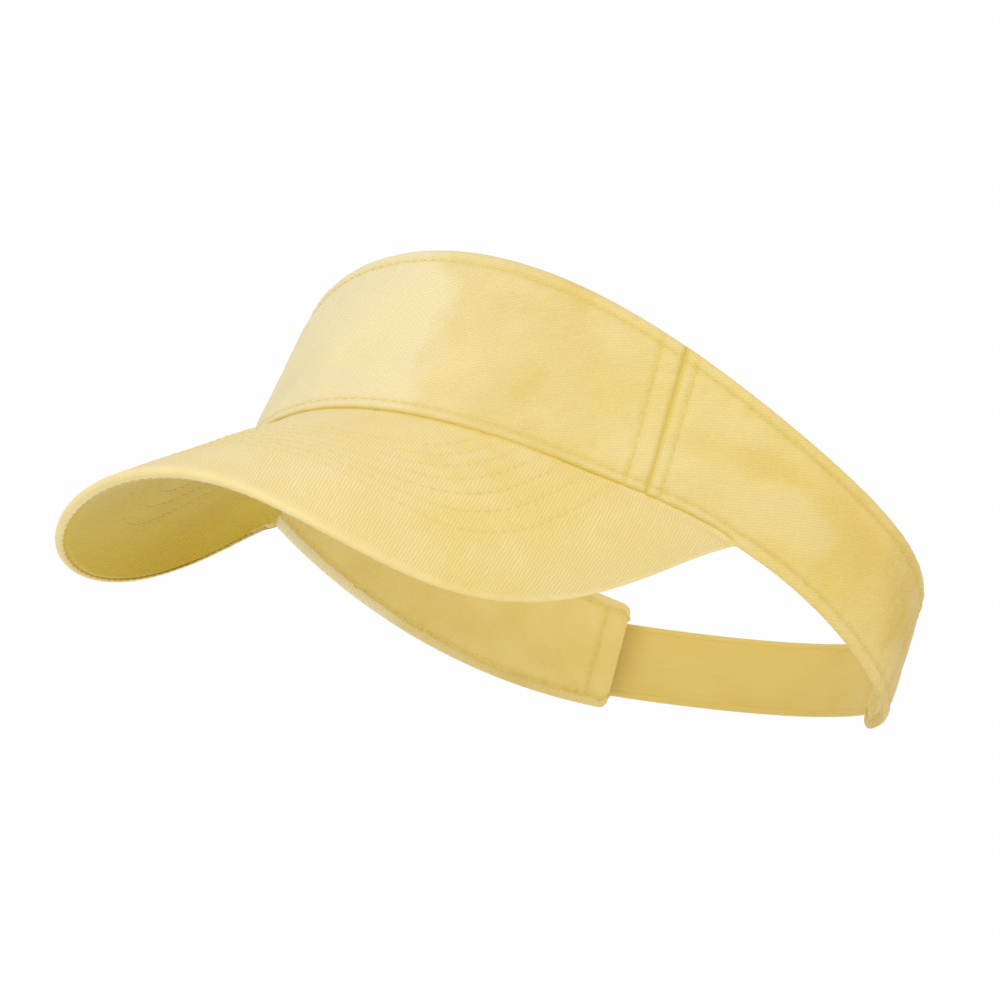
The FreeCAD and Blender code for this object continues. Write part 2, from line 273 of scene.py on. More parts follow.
def plan_curve(side_share, half, length, side_run, front_run):
    """A mirrored outline in plan; side_share runs from -1, right corner, to 1, left corner."""
    share = 1 - np.abs(side_share)
    x = bezier([half, half - SIDE_PULL, front_run, 0], share) * np.sign(side_share)
    y = bezier([0, -side_run, -length, -length], share) + BRIM_REAR
    return x, y


def brim_outline(side_share, inset=0.0):
    return plan_curve(side_share, BRIM_HALF - inset, BRIM_LENGTH - inset, SIDE_RUN, FRONT_RUN - inset)


def level_of(x, y):
    """Polar coordinates in which the band's foot on the brim is nearly level zero."""
    return np.arctan2(x / FOOT_HALF, -y / HALF_LENGTH), np.hypot(x / FOOT_HALF, y / HALF_LENGTH) - 1


def brim_swell(x, y):
    """The cloth brim runs straighter from the band to its edge than the torus does."""
    angle, level = level_of(x, y)
    foot = np.interp(angle, *FOOT_LEVELS)
    edge = np.interp(angle, *EDGE_LEVELS)
    share = np.clip((level - foot) / np.maximum(edge - foot, 0.002), 0, 1)
    towards_corner = np.clip(np.abs(angle) / EDGE_LEVELS[0][-1], 0, 1)
    return BRIM_SWELL * 4 * share * (1 - share) * (1 - towards_corner ** 4)


def row_outline(side_share, inset=0.0):
    return plan_curve(
        side_share, ROW_HALF - inset, ROW_LENGTH - inset, ROW_SIDE_RUN - inset / 2, ROW_FRONT_RUN - inset
    )


EDGE_LEVELS = level_of(*brim_outline(np.linspace(-1, 1, 401)))


# ---------------------------------------------------------------- the band's surface

def band_point(angle, height, outset=0.0, sidestep=0.0):
    """A point of the oval; angle 0 is the front and grows towards the wearer's left."""
    wide = HALF_WIDTH + WIDEN * height + outset
    long = HALF_LENGTH - SHORTEN * height + outset
    return np.stack([
        wide * np.sin(angle) - sidestep,
        LEAN * height - long * np.cos(angle),
        height + 0 * angle,
    ], -1)


def angle_on(plane, height):
    """Angle, on the left side, at which a leaning plane crosses the band at a height."""
    place, tilt = plane
    along = (LEAN - math.tan(tilt)) * height - place
    return np.arccos(np.clip(along / (HALF_LENGTH - SHORTEN * height), -1, 1))


def behind_plane(plane, angle, height):
    """How far a point of the band lies behind a leaning plane."""
    place, tilt = plane
    return band_point(angle, height)[..., 1] - place - math.tan(tilt) * height


def upper_rule(point):
    share = (point[..., 1] - EDGE_FRONT) / (EDGE_REAR - EDGE_FRONT)
    return bezier(UPPER_POLES, share)


def lower_rule(point):
    x, y = point[..., 0], point[..., 1]
    rear = bezier(LOWER_POLES, (y - BRIM_REAR) / (EDGE_REAR - BRIM_REAR))
    return np.where(y < BRIM_REAR, brim_height(x, y), rear)


def edge_heights(rule, start):
    """The height of an edge at every angle, where the edge's rule and the oval agree."""
    angle = np.linspace(-math.pi, math.pi, 1441)
    height = np.full_like(angle, start)
    for _ in range(24):
        height = rule(band_point(angle, height))
    return angle, height


UPPER_EDGE = edge_heights(upper_rule, 20 * MM)
LOWER_EDGE = edge_heights(lower_rule, -20 * MM)


def upper_edge(angle):
    return np.interp(angle, *UPPER_EDGE)


def lower_edge(angle):
    return np.interp(angle, *LOWER_EDGE)


def foot_levels():
    """Where the band stands on the brim, for brim_swell()."""
    angle = np.linspace(-2, 2, 801)
    foot = band_point(angle, lower_edge(angle), 0.3 * MM)
    return level_of(foot[:, 0], foot[:, 1])


FOOT_LEVELS = foot_levels()


def arc_table():
    """Distance round the band at height zero, measured from the front."""
    angle = np.linspace(-math.pi, math.pi, 1441)
    steps = np.linalg.norm(np.diff(band_point(angle, 0 * angle), axis=0), axis=-1)
    distance = np.concatenate([[0], np.cumsum(steps)])
    return angle, distance - np.interp(0, angle, distance)


ARC = arc_table()


def arc_at(angle):
    return np.interp(angle, *ARC)


# ---------------------------------------------------------------- soft shape of the cloth

BROAD = Ripples(3, 46 * MM)
MIDDLE = Ripples(5, 19 * MM)
FINE = Ripples(8, 7.5 * MM)
PUCKER = Ripples(11, 5.2 * MM)
DRIFT = Ripples(13, 30 * MM)

# How the outer cloth leaves its smooth oval: sunk rows, raised hems, puckers, soft unevenness.
ROW_SINK, SEAM_ROW_SINK, SEAM_DIP = 0.24 * MM, 0.22 * MM, 0.25 * MM
HEM_RISE, RIBBON_RISE = 0.24 * MM, 0.14 * MM
ROW_PUCKER, SEAM_PUCKER, PUCKER_DRIFT = 0.08 * MM, 0.09 * MM, 0.25 * MM
BROAD_RISE, MIDDLE_RISE, FINE_RISE = 0.24 * MM, 0.12 * MM, 0.04 * MM
LOWEST, HIGHEST = -0.9 * MM, 1.3 * MM
# The same for the inner cloth.
INNER_ROW_SINK, INNER_SEAM_DIP, INNER_HEM_RISE, INNER_PUCKER = 0.34 * MM, 0.20 * MM, 0.30 * MM, 0.16 * MM
INNER_BROAD_RISE, INNER_MIDDLE_RISE, INNER_HIGHEST = 0.40 * MM, 0.22 * MM, 0.8 * MM
# At the sides the inner cloth may move outwards this much further than the outer one does.
INNER_ROOM = 0.3 * MM

# Soft folds on the outside: side, distance round the band and share of its height at
# both ends of the fold, then its width and depth.
FOLDS = [
    (LEFT, (84, 0.44), (132, 0.72), 3.2, -0.8),
    (LEFT, (96, 0.66), (138, 0.94), 6.0, 0.8),
    (LEFT, (122, 0.70), (182, 0.74), 4.0, -0.6),
    (LEFT, (100, 0.28), (150, 0.42), 6.0, 0.7),
    (LEFT, (150, 0.16), (190, 0.24), 4.0, -0.5),
    (LEFT, (10, 0.35), (52, 0.58), 8.0, 0.5),
    (LEFT, (30, 0.80), (64, 0.70), 5.0, -0.35),
    (RIGHT, (14, 0.30), (40, 0.72), 8.0, 0.5),
    (RIGHT, (74, 0.60), (132, 0.30), 8.0, 0.8),
    (RIGHT, (95, 0.20), (150, 0.55), 7.0, -0.7),
]


def fold_relief(angle, height):
    """Long soft folds, as distances from slanting lines on the unrolled band."""
    around = arc_at(angle)
    low, high = lower_edge(angle), upper_edge(angle)
    up = height - low
    total = 0
    for side, (first, first_up), (last, last_up), width, depth in FOLDS:
        share = (around * side / MM - first) / (last - first)
        middle = mix(first_up, last_up, share) * (high - low)
        fade = smooth(share, -0.15, 0.25) * (1 - smooth(share, 0.75, 1.15))
        total = total + depth * MM * bell(up - middle, width * MM) * fade
    return total


def before_end(angle, height):
    """How far a point of the band lies in front of its nearer end."""
    left = -behind_plane(LEFT_END, angle, height)
    right = -behind_plane(RIGHT_END, angle, height)
    return np.where(angle > 0, left, right)


def row_distances(angle, height):
    """Distances from a point of the band to its edges and its nearer end, then to its seam."""
    edges = (height - lower_edge(angle), upper_edge(angle) - height, before_end(angle, height))
    return edges, behind_plane(SEAM, angle, height)


def edge_rows(edges, width):
    """1 on the rows of stitches along the edges and the end, 0 elsewhere."""
    rows = (EDGE_ROW, EDGE_ROW, END_ROW)
    return sum(bell(distance - row, width) for distance, row in zip(edges, rows))


def seam_rows(from_seam, width):
    return bell(from_seam + SEAM_ROW_FRONT, width) + bell(from_seam - SEAM_ROW_REAR, width)


def puffed(distance, width, fullness):
    """A strip of the given width that stands up between its two borders."""
    return np.sin(math.pi * np.clip(distance / width, 0, 1)) ** fullness


def hems(edges):
    return sum(puffed(distance, EDGE_ROW, 0.7) for distance in edges)


def open_cloth(edges):
    """1 on the open cloth between the hems, 0 near the upper and the lower edge."""
    return smooth(edges[0], 2 * MM, 10 * MM) * smooth(edges[1], 2 * MM, 10 * MM)


def outer_relief(angle, height):
    """How far the outer cloth stands off its smooth oval: hems, grooves, puckers, folds."""
    edges, from_seam = row_distances(angle, height)
    around = arc_at(angle)
    wander = PUCKER_DRIFT * DRIFT(around, height)
    ribbon = puffed(-from_seam, SEAM_ROW_FRONT, 0.6) + puffed(from_seam, SEAM_ROW_REAR, 0.6)
    soft = BROAD_RISE * BROAD(around, 1.3 * height) + MIDDLE_RISE * MIDDLE(around, height)
    soft = soft + fold_relief(angle, height)
    relief = HEM_RISE * hems(edges) - ROW_SINK * edge_rows(edges, 0.8 * MM)
    relief = relief + RIBBON_RISE * ribbon - SEAM_ROW_SINK * seam_rows(from_seam, 0.8 * MM)
    relief = relief + ROW_PUCKER * edge_rows(edges, 5 * MM) * PUCKER(around + wander, 0.25 * height)
    relief = relief + SEAM_PUCKER * bell(from_seam, 7 * MM) * PUCKER(0.3 * around, height)
    relief = relief + FINE_RISE * FINE(around, height) + open_cloth(edges) * soft
    relief = held_between(relief, LOWEST, HIGHEST) * mix(0.35, 1, smooth(edges[0], 0, 2 * MM))
    return relief - SEAM_DIP * bell(from_seam, 0.5 * MM)


def band_grooves(angle, height):
    """1 where stitching or a seam pulls the cloth in, 0 elsewhere; these places are painted darker as shade.
    """
    edges, from_seam = row_distances(angle, height)
    rows = edge_rows(edges, 0.7 * MM) + seam_rows(from_seam, 0.7 * MM)
    return np.clip(0.35 * rows + 1.2 * bell(from_seam, 0.7 * MM), 0, 1)


def inner_relief(angle, height):
    """The facing's own soft shape, kept inside the outer cloth; away from the head is positive."""
    relief = held_between(free_inner_relief(angle, height), LOWEST, INNER_HIGHEST)
    outer = outer_relief(angle, height)
    front = behind_plane(SEAM, angle, height) < 0
    return np.where(front, relief, np.minimum(relief, outer + INNER_ROOM))


def free_inner_relief(angle, height):
    """The facing's relief before it is kept inside the outer cloth."""
    edges, from_seam = row_distances(angle, height)
    around = arc_at(angle)
    near_rows = bell(edges[0] - EDGE_ROW, 6 * MM) + bell(edges[1] - EDGE_ROW, 6 * MM)
    relief = INNER_ROW_SINK * edge_rows(edges, 0.9 * MM) - INNER_HEM_RISE * hems(edges)
    relief = relief + INNER_PUCKER * near_rows * PUCKER(0.8 * around, 0.3 * height)
    soft = INNER_BROAD_RISE * BROAD(1.2 * around + 0.2, height) + INNER_MIDDLE_RISE * MIDDLE(around, height)
    return relief + open_cloth(edges) * soft + INNER_SEAM_DIP * bell(from_seam, 0.7 * MM)


# ---------------------------------------------------------------- meshes

def new_piece(name, points, faces):
    """A smooth object from points about the model's own middle."""
    mesh = bpy.data.meshes.new(name)
    mesh.from_pydata((points.reshape(-1, 3) + ORIGIN).tolist(), [], faces)
    mesh.polygons.foreach_set("use_smooth", np.ones(len(mesh.polygons), bool))
    piece = bpy.data.objects.new(name, mesh)
    bpy.context.scene.collection.objects.link(piece)
    return piece


def cloth_attribute(mesh, name, values):
    """A value at every point of a cloth, for its material: a number or a direction."""
    is_vector = name == "weave"
    layer = mesh.attributes.new(name, "FLOAT_VECTOR" if is_vector else "FLOAT", "POINT")
    layer.data.foreach_set("vector" if is_vector else "value", values.astype(np.float32).ravel())


def grid_piece(name, points, flip=False, **cloth):
    """A sheet of quads over a grid of points, with what its material needs to know there."""
    index = np.arange(points.shape[0] * points.shape[1]).reshape(points.shape[:2])
    corners = [index[:-1, :-1], index[1:, :-1], index[1:, 1:], index[:-1, 1:]]
    quads = np.stack(corners, -1).reshape(-1, 4)
    if flip:
        quads = quads[:, ::-1]
    piece = new_piece(name, points, quads.tolist())
    for key, values in cloth.items():
        cloth_attribute(piece.data, key, values)
    return piece


def tube_faces(count, rings, sides):
    """Faces of many short tubes with closed ends, whose points are given tube by tube."""
    tube = np.arange(count)[:, None, None] * rings * sides
    ring = np.arange(rings - 1)[None, :, None] * sides
    side = np.arange(sides)[None, None, :]
    following = (side + 1) % sides
    low, high = tube + ring, tube + ring + sides
    walls = np.stack([low + side, low + following, high + following, high + side], -1)
    first = tube[:, 0] + side[0, :, ::-1]
    last = tube[:, 0] + side[0] + (rings - 1) * sides
    return walls.reshape(-1, 4).tolist() + first.tolist() + last.tolist()


def sharpen_border(mesh):
    """Keeps the shading of a sheet's face from bending round its cut border."""
    edge_of_corner = np.zeros(len(mesh.loops), np.int32)
    mesh.loops.foreach_get("edge_index", edge_of_corner)
    border = np.bincount(edge_of_corner, minlength=len(mesh.edges)) == 1
    mesh.attributes.new("sharp_edge", "BOOLEAN", "EDGE").data.foreach_set("value", border)


def thicken(piece, depth):
    """Gives a sheet its thickness behind the face that shows."""
    sharpen_border(piece.data)
    solid = piece.modifiers.new("thickness", "SOLIDIFY")
    solid.thickness = depth
    solid.offset = -1
    solid.use_rim = True
    return piece


def finish_piece(piece, material, body, slot, *nodes):
    piece.data.materials.append(material)
    if body:
        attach(piece, body)
    if nodes:
        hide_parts(*nodes)
    return piece


# ---------------------------------------------------------------- stitches

# Along one stitch: where its rings are, how thick it is there and how high it stands.
STITCH_SHARE = np.array([0.0, 0.08, 0.25, 0.5, 0.75, 0.92, 1.0])
STITCH_SWELL = np.array([0.35, 0.8, 1.0, 1.05, 1.0, 0.8, 0.35])
STITCH_RISE = np.array([-0.55, -0.1, 0.25, 0.35, 0.25, -0.1, -0.55])
STITCH_SIDES = 6


def stitches(name, path, normals, start=0.0):
    """A row of separate stitches along a path, each one a short bead that dives at its ends."""
    steps = np.linalg.norm(np.diff(path, axis=0), axis=-1)
    distance = np.concatenate([[0], np.cumsum(steps)])
    count = int((distance[-1] - start) / (STITCH + STITCH_GAP))
    first = start + np.arange(count) * (STITCH + STITCH_GAP)
    at = first[:, None] + STITCH_SHARE * STITCH
    centre = np.stack([np.interp(at, distance, path[:, axis]) for axis in range(3)], -1)
    normal = unit(np.stack([np.interp(at, distance, normals[:, axis]) for axis in range(3)], -1))
    forward = unit(np.gradient(centre, axis=1))
    sideways = unit(np.cross(forward, normal))
    turns = np.linspace(0, 2 * math.pi, STITCH_SIDES + 1)[:-1]
    centre = centre + (STITCH_RISE * THREAD / 2)[None, :, None] * normal
    radius = (STITCH_SWELL * THREAD / 2)[None, :, None, None]
    ring = (
        np.cos(turns)[None, None, :, None] * sideways[:, :, None, :]
        + 0.75 * np.sin(turns)[None, None, :, None] * normal[:, :, None, :]
    )
    points = centre[:, :, None, :] + radius * ring
    return new_piece(name, points, tube_faces(count, len(STITCH_SHARE), STITCH_SIDES))


def joined(name, rows):
    """Several rows as one piece."""
    rows = [row for row in rows if len(row.data.vertices)]
    bpy.ops.object.select_all(action="DESELECT")
    for row in rows:
        row.select_set(True)
    bpy.context.view_layer.objects.active = rows[0]
    if len(rows) > 1:
        bpy.ops.object.join()
    rows[0].name = name
    rows[0].data.name = name
    return rows[0]


# ---------------------------------------------------------------- materials

def socket(node, name, value):
    node.inputs[name].default_value = value


def colour(red, green, blue):
    """A colour given in the screen's own scale, as the shader's linear one."""
    return tuple(((c / 255 + 0.055) / 1.055) ** 2.4 for c in (red, green, blue)) + (1.0,)


def set_span(node, low, high, to_low, to_high):
    """The limits of a Map Range node."""
    numbers = {"From Min": low, "From Max": high, "To Min": to_low, "To Max": to_high}
    for name, number in numbers.items():
        socket(node, name, number)


class Nodes:
    """Short calls for building one material's nodes."""

    def __init__(self, name):
        self.material = bpy.data.materials.new(name)
        self.material.use_nodes = True
        self.tree = self.material.node_tree
        self.shader = self.tree.nodes["Principled BSDF"]

    def add(self, kind, **settings):
        node = self.tree.nodes.new(kind)
        for key, value in settings.items():
            setattr(node, key, value)
        return node

    def link(self, out, into):
        self.tree.links.new(out, into)

    def put(self, into, value):
        if isinstance(value, bpy.types.NodeSocket):
            self.link(value, into)
        else:
            into.default_value = value

    def math(self, operation, one, two=0.0, clamp=False):
        node = self.add("ShaderNodeMath", operation=operation, use_clamp=clamp)
        self.put(node.inputs[0], one)
        self.put(node.inputs[1], two)
        return node.outputs[0]

    def plus(self, one, two, clamp=False):
        return self.math("ADD", one, two, clamp)

    def minus(self, one, two):
        return self.math("SUBTRACT", one, two)

    def times(self, one, two):
        return self.math("MULTIPLY", one, two)

    def place(self):
        return self.add("ShaderNodeTexCoord").outputs["Object"]

    def attribute(self, name, output="Fac"):
        return self.add("ShaderNodeAttribute", attribute_name=name).outputs[output]

    def noise(self, vector, scale, detail=2.0, rough=0.5):
        node = self.add("ShaderNodeTexNoise")
        self.link(vector, node.inputs["Vector"])
        socket(node, "Scale", scale)
        socket(node, "Detail", detail)
        socket(node, "Roughness", rough)
        return node.outputs["Fac"]

    def mix(self, share, one, two):
        node = self.add("ShaderNodeMix", data_type="RGBA", clamp_factor=True)
        self.put(node.inputs["Factor"], share)
        self.put(node.inputs[6], one)
        self.put(node.inputs[7], two)
        return node.outputs[2]

    def span(self, value, low, high, to_low=0.0, to_high=1.0):
        node = self.add("ShaderNodeMapRange", clamp=True)
        self.link(value, node.inputs["Value"])
        set_span(node, low, high, to_low, to_high)
        return node.outputs["Result"]

    def bump(self, height, strength, distance):
        node = self.add("ShaderNodeBump")
        socket(node, "Strength", strength)
        socket(node, "Distance", distance)
        self.link(height, node.inputs["Height"])
        self.link(node.outputs["Normal"], self.shader.inputs["Normal"])

    def surface(self, tint, rough):
        self.link(tint, self.shader.inputs["Base Color"])
        self.link(rough, self.shader.inputs["Roughness"])


# Paler towards the wearer's right front and deeper towards the left rear: partly wash fading, partly painted
# light, a painted highlight at the front and painted shade towards the rear.
FADE_AND_SHADE_DIRECTION = (0.78, 0.63, 0.0)
# The border of this fade and painted shade wanders, by a noise of this scale and up to this far in all.
FADE_AND_SHADE_NOISE = 32.0
FADE_AND_SHADE_WANDER = 34 * MM


def faded_and_shaded_cloth(n, stops):
    """A colour that changes from the pale front towards the deeper rear: partly wash fading, partly painted
    highlight at the front and painted shade towards the rear.

    Each stop is a distance from the model's middle, in millimetres, and a colour."""
    place = n.place()
    dot = n.add("ShaderNodeVectorMath", operation="DOT_PRODUCT")
    n.link(place, dot.inputs[0])
    dot.inputs[1].default_value = FADE_AND_SHADE_DIRECTION
    middle = float(np.dot(FADE_AND_SHADE_DIRECTION, ORIGIN))
    first, last = stops[0][0] * MM, stops[-1][0] * MM
    wander = n.times(n.minus(n.noise(place, FADE_AND_SHADE_NOISE, 3.0), 0.5), FADE_AND_SHADE_WANDER)
    share = n.span(n.plus(dot.outputs["Value"], wander), middle + first, middle + last)
    ramp = n.add("ShaderNodeValToRGB")
    n.link(share, ramp.inputs["Fac"])
    elements = ramp.color_ramp.elements
    while len(elements) < len(stops):
        elements.new(1.0)
    for element, (distance, tint) in zip(elements, stops):
        element.position = (distance * MM - first) / (last - first)
        element.color = tint
    return ramp.outputs["Color"]


def twill_surface(n, weave, pitch):
    """The cloth's own height between 0 and 1: slanting ribs, crossed by single yarns."""
    parts = n.add("ShaderNodeSeparateXYZ")
    n.link(weave, parts.inputs[0])
    along, across = parts.outputs["X"], parts.outputs["Y"]
    wobble = n.noise(weave, 0.35, 3.0)
    across_turns = n.plus(n.times(across, 1 / pitch), n.times(wobble, 1.3))
    ribs = n.math("SINE", n.times(across_turns, 2 * math.pi))
    floats = n.plus(n.times(along, 1 / (1.4 * pitch)), n.times(across_turns, 0.5))
    yarns = n.math("SINE", n.times(floats, 2 * math.pi))
    surface = n.plus(n.plus(n.times(ribs, 0.5), n.times(yarns, 0.16)), 0.5)
    raised = n.span(n.attribute("plain"), 0.0, 1.0, 1.0, 0.0)
    return n.plus(n.times(n.minus(surface, 0.75), raised), 0.75)


def twill(name, deep, stops, faded_and_highlit, pitch, rib, fading=0.5, groove=None, rough=0.86, raised_ribs=0.55):
    """Washed cotton twill, from what the cloth's points carry: `weave`, flat coordinates in
    millimetres along a rib and across the ribs; `relief`, how far the cloth stands up, which also paints
    highlight and shade;
    `grooves`, 1 where it is pulled in and painted darker as shade; and `plain`, 1 where no ribs show."""
    n = Nodes(name)
    weave = n.attribute("weave", "Vector")
    relief = n.attribute("relief")
    surface = twill_surface(n, weave, pitch)
    patches = n.noise(weave, 0.055, 4.0, 0.6)
    slubs = n.noise(weave, 0.9, 3.0, 0.7)
    wear_and_fold_light = n.times(n.span(patches, 0.36, 0.66), fading)
    # Painted light: raised cloth is painted paler, as a highlight, and the hollows of folds deeper, as
    # shade.
    wear_and_fold_light = n.plus(wear_and_fold_light, n.span(relief, -0.5, 0.5, -0.15, 0.2), clamp=True)
    base = n.mix(wear_and_fold_light, faded_and_shaded_cloth(n, stops), faded_and_highlit)
    base = n.mix(n.span(slubs, 0.42, 0.7, 0.0, 0.24), base, faded_and_highlit)
    # Painted shade: the deep colour in the cloth's hollows.
    base = n.mix(n.span(relief, -0.9, -0.3, 0.2, 0.0), base, deep)
    # Painted shade: the groove colour in stitch grooves, seams, edges and where pieces meet.
    base = n.mix(n.times(n.attribute("grooves"), 0.7), base, groove or deep)
    base = n.mix(n.times(n.minus(1.0, surface), rib), base, deep)
    n.surface(base, n.span(slubs, 0.3, 0.7, rough - 0.08, rough + 0.08))
    socket(n.shader, "Sheen Weight", 0.35)
    socket(n.shader, "Sheen Roughness", 0.4)
    socket(n.shader, "Specular IOR Level", 0.25)
    n.bump(n.plus(surface, n.times(slubs, 0.7)), raised_ribs, 0.12 * MM)
    return n.material


def thread_material(name, deep, light):
    n = Nodes(name)
    place = n.place()
    twist = n.noise(place, 2600.0, 2.0)
    tone = n.noise(place, 90.0, 2.0)
    base = n.mix(n.span(twist, 0.35, 0.65), deep, light)
    base = n.mix(n.span(tone, 0.35, 0.7, 0.0, 0.4), base, light)
    n.surface(base, n.span(twist, 0.3, 0.7, 0.55, 0.75))
    socket(n.shader, "Sheen Weight", 0.2)
    n.bump(twist, 0.4, 0.1 * MM)
    return n.material


def plain_grain(name, dark, light, scale, rough):
    """A matt sheet with a fine grain, for the board, the hooks and the loops."""
    n = Nodes(name)
    grain = n.noise(n.place(), scale, 4.0, 0.6)
    tint = n.mix(n.span(grain, 0.35, 0.65), dark, light)
    n.surface(tint, n.span(grain, 0.3, 0.7, rough - 0.1, rough + 0.1))
    n.bump(grain, 0.3, 0.1 * MM)
    return n.material


def buckram_weave(name):
    """Stiff open weave behind the front panel."""
    n = Nodes(name)
    place = n.place()
    checks = n.add("ShaderNodeTexBrick")
    n.link(place, checks.inputs["Vector"])
    socket(checks, "Scale", 900.0)
    socket(checks, "Color1", colour(244, 242, 232))
    socket(checks, "Color2", colour(234, 231, 218))
    socket(checks, "Mortar", colour(206, 202, 188))
    n.surface(checks.outputs["Color"], n.span(n.noise(place, 700.0), 0.3, 0.7, 0.75, 0.95))
    n.bump(checks.outputs["Fac"], 0.5, 0.1 * MM)
    return n.material


def make_materials():
    return {
        # Each twill's stops run from a paler front to a deeper rear: partly wash fading, partly painted
        # highlight and painted shade.
        "band": twill(
            "band_twill", colour(218, 184, 84),
            [
                (-54, colour(239, 226, 180)), (-47, colour(231, 210, 148)), (-36, colour(228, 206, 140)),
                (-18, colour(221, 195, 114)), (-2, colour(229, 206, 131)),
                (25, colour(237, 212, 131)), (51, colour(240, 211, 115)), (75, colour(235, 202, 98)),
                (88, colour(215, 178, 44)), (110, colour(203, 164, 30)),
            ],
            colour(248, 232, 182), pitch=0.80, rib=0.27, fading=0.20, groove=colour(208, 180, 60),
        ),
        "brim": twill(
            "brim_twill", colour(226, 192, 92),
            [(-80, colour(240, 220, 154)), (-30, colour(235, 209, 124)), (80, colour(248, 228, 166))],
            colour(249, 236, 190), pitch=0.86, rib=0.54, fading=0.35, groove=colour(214, 188, 78),
        ),
        # Painted shade: the lower cover's cloth is darker and more saturated than the upper one's, standing
        # in for the shade beneath the brim.
        "underside": twill(
            "underside_twill_painted_shade", colour(202, 174, 62),
            [(-80, colour(208, 177, 46)), (40, colour(208, 178, 44))],
            colour(219, 195, 74), pitch=0.80, rib=0.08, fading=0.4, groove=colour(190, 158, 44),
        ),
        "facing": twill(
            "facing_twill", colour(212, 180, 84),
            [(-60, colour(230, 203, 116)), (80, colour(233, 208, 122))],
            colour(240, 218, 146), pitch=0.80, rib=0.07, fading=0.4, groove=colour(206, 176, 60),
            raised_ribs=0.4,
        ),
        "strap": twill(
            "strap_twill", colour(206, 174, 80),
            [(-20, colour(224, 196, 106)), (120, colour(224, 196, 104))],
            colour(232, 208, 128), pitch=0.80, rib=0.05, fading=0.4, groove=colour(206, 170, 66),
            raised_ribs=0.2,
        ),
        "thread": thread_material("tonal_thread", colour(220, 192, 84), colour(238, 214, 116)),
        "hem_thread": thread_material("hem_thread", colour(210, 182, 88), colour(226, 200, 110)),
        "brim_thread": thread_material("brim_thread", colour(230, 205, 112), colour(241, 219, 136)),
        "strap_thread": thread_material("strap_thread", colour(212, 182, 96), colour(228, 200, 116)),
        "board": plain_grain("board_sheet", colour(226, 226, 220), colour(240, 240, 236), 400.0, 0.5),
        "buckram": buckram_weave("buckram_weave"),
        "hook": plain_grain("hook_plastic", colour(226, 202, 132), colour(240, 220, 156), 900.0, 0.45),
        "loop": plain_grain("loop_pile", colour(228, 202, 128), colour(244, 226, 168), 1500.0, 0.92),
    }


MATERIAL = make_materials()


# ---------------------------------------------------------------- weave coordinates

RIB_RISE = math.radians(20.0)
RIB_TURN = -0.16
BRIM_RIB = math.radians(53.0)
BRIM_RIB_TURN = 0.58
BRIM_RIB_REACH = 228.0 * MM


def band_weave(angle, height, offset=0.0):
    """Along and across the twill ribs of the band, in millimetres; ribs rise to the left."""
    table_angle, table_arc = ARC
    rise = np.clip(RIB_RISE + RIB_TURN * table_angle, math.radians(-8), math.radians(32))
    climbed = np.concatenate([[0], np.cumsum(np.sin(rise[1:]) * np.diff(table_arc))])
    climbed = climbed - np.interp(0, table_angle, climbed)
    here = np.interp(angle, table_angle, rise)
    across = height * np.cos(here) - np.interp(angle, table_angle, climbed) + offset
    along = arc_at(angle) * np.cos(here) + height * np.sin(here)
    return np.stack([along, across, offset + 0 * along], -1) / MM


def brim_weave(x, y):
    """Flat coordinates of the brim's cloth: polar ones, in which the ribs are straight."""
    roll, sweep = brim_turns(x, y)
    reach = ROLL * roll + BRIM_RIB_REACH
    turn = BRIM_RIB + BRIM_RIB_TURN * sweep
    return np.stack([reach * np.cos(turn), -reach * np.sin(turn), 0 * x], -1) / MM


# ---------------------------------------------------------------- band pieces

def corner_cut(angle, from_end):
    """How much an edge gives way to the rounded corner at an open end."""
    radius = np.where(angle > 0, LEFT_CORNER, RIGHT_CORNER)
    near = np.clip(radius - from_end, 0, radius)
    return radius - np.sqrt(radius ** 2 - near ** 2)


class Wrap:
    """A cloth's way round the band's section: shares of the height, how far it is moved up
    and out there, and how far it faces outwards. Edges turn over a roll as deep as the band."""

    def __init__(self, depth, steps, lip=LIP):
        radius = depth / 2
        bend = np.linspace(-math.pi / 2, math.pi / 2, 9)
        roll_up = radius * (1 - np.cos(bend))
        roll_out = radius * (np.sin(bend) - 1)
        tuck = 0.45 * MM
        middle = np.linspace(0, 1, steps)[1:-1]
        self.share = np.concatenate([[0, 0], 0 * bend, middle, 0 * bend + 1, [1, 1]])
        self.up = np.concatenate([
            [radius + lip + tuck, radius + lip], roll_up, mix(radius, -radius, middle), -roll_up[::-1],
            [-radius - lip, -radius - lip - tuck],
        ])
        self.out = np.concatenate([
            [tuck - depth, -depth], roll_out, 0 * middle, roll_out[::-1], [-depth, tuck - depth],
        ])
        seen = smooth(np.sin(bend), 0, 1)
        self.face = np.concatenate([[0, 0], seen, 1 + 0 * middle, seen[::-1], [0, 0]])


def panel_grid(start, finish, across, edges, share, up=0.0):
    """Angles and heights over a panel between two leaning planes, and its edges' heights."""
    grid_share = np.linspace(0, 1, across)[:, None]
    height = np.zeros((across, share.size))
    for _ in range(12):
        angle = mix(start(height), finish(height), grid_share)
        low, high = edges(angle)
        corner = corner_cut(angle, before_end(angle, height))
        low, high = low + corner, high - corner
        height = mix(low, high, share) + up
    return angle, height, low, high


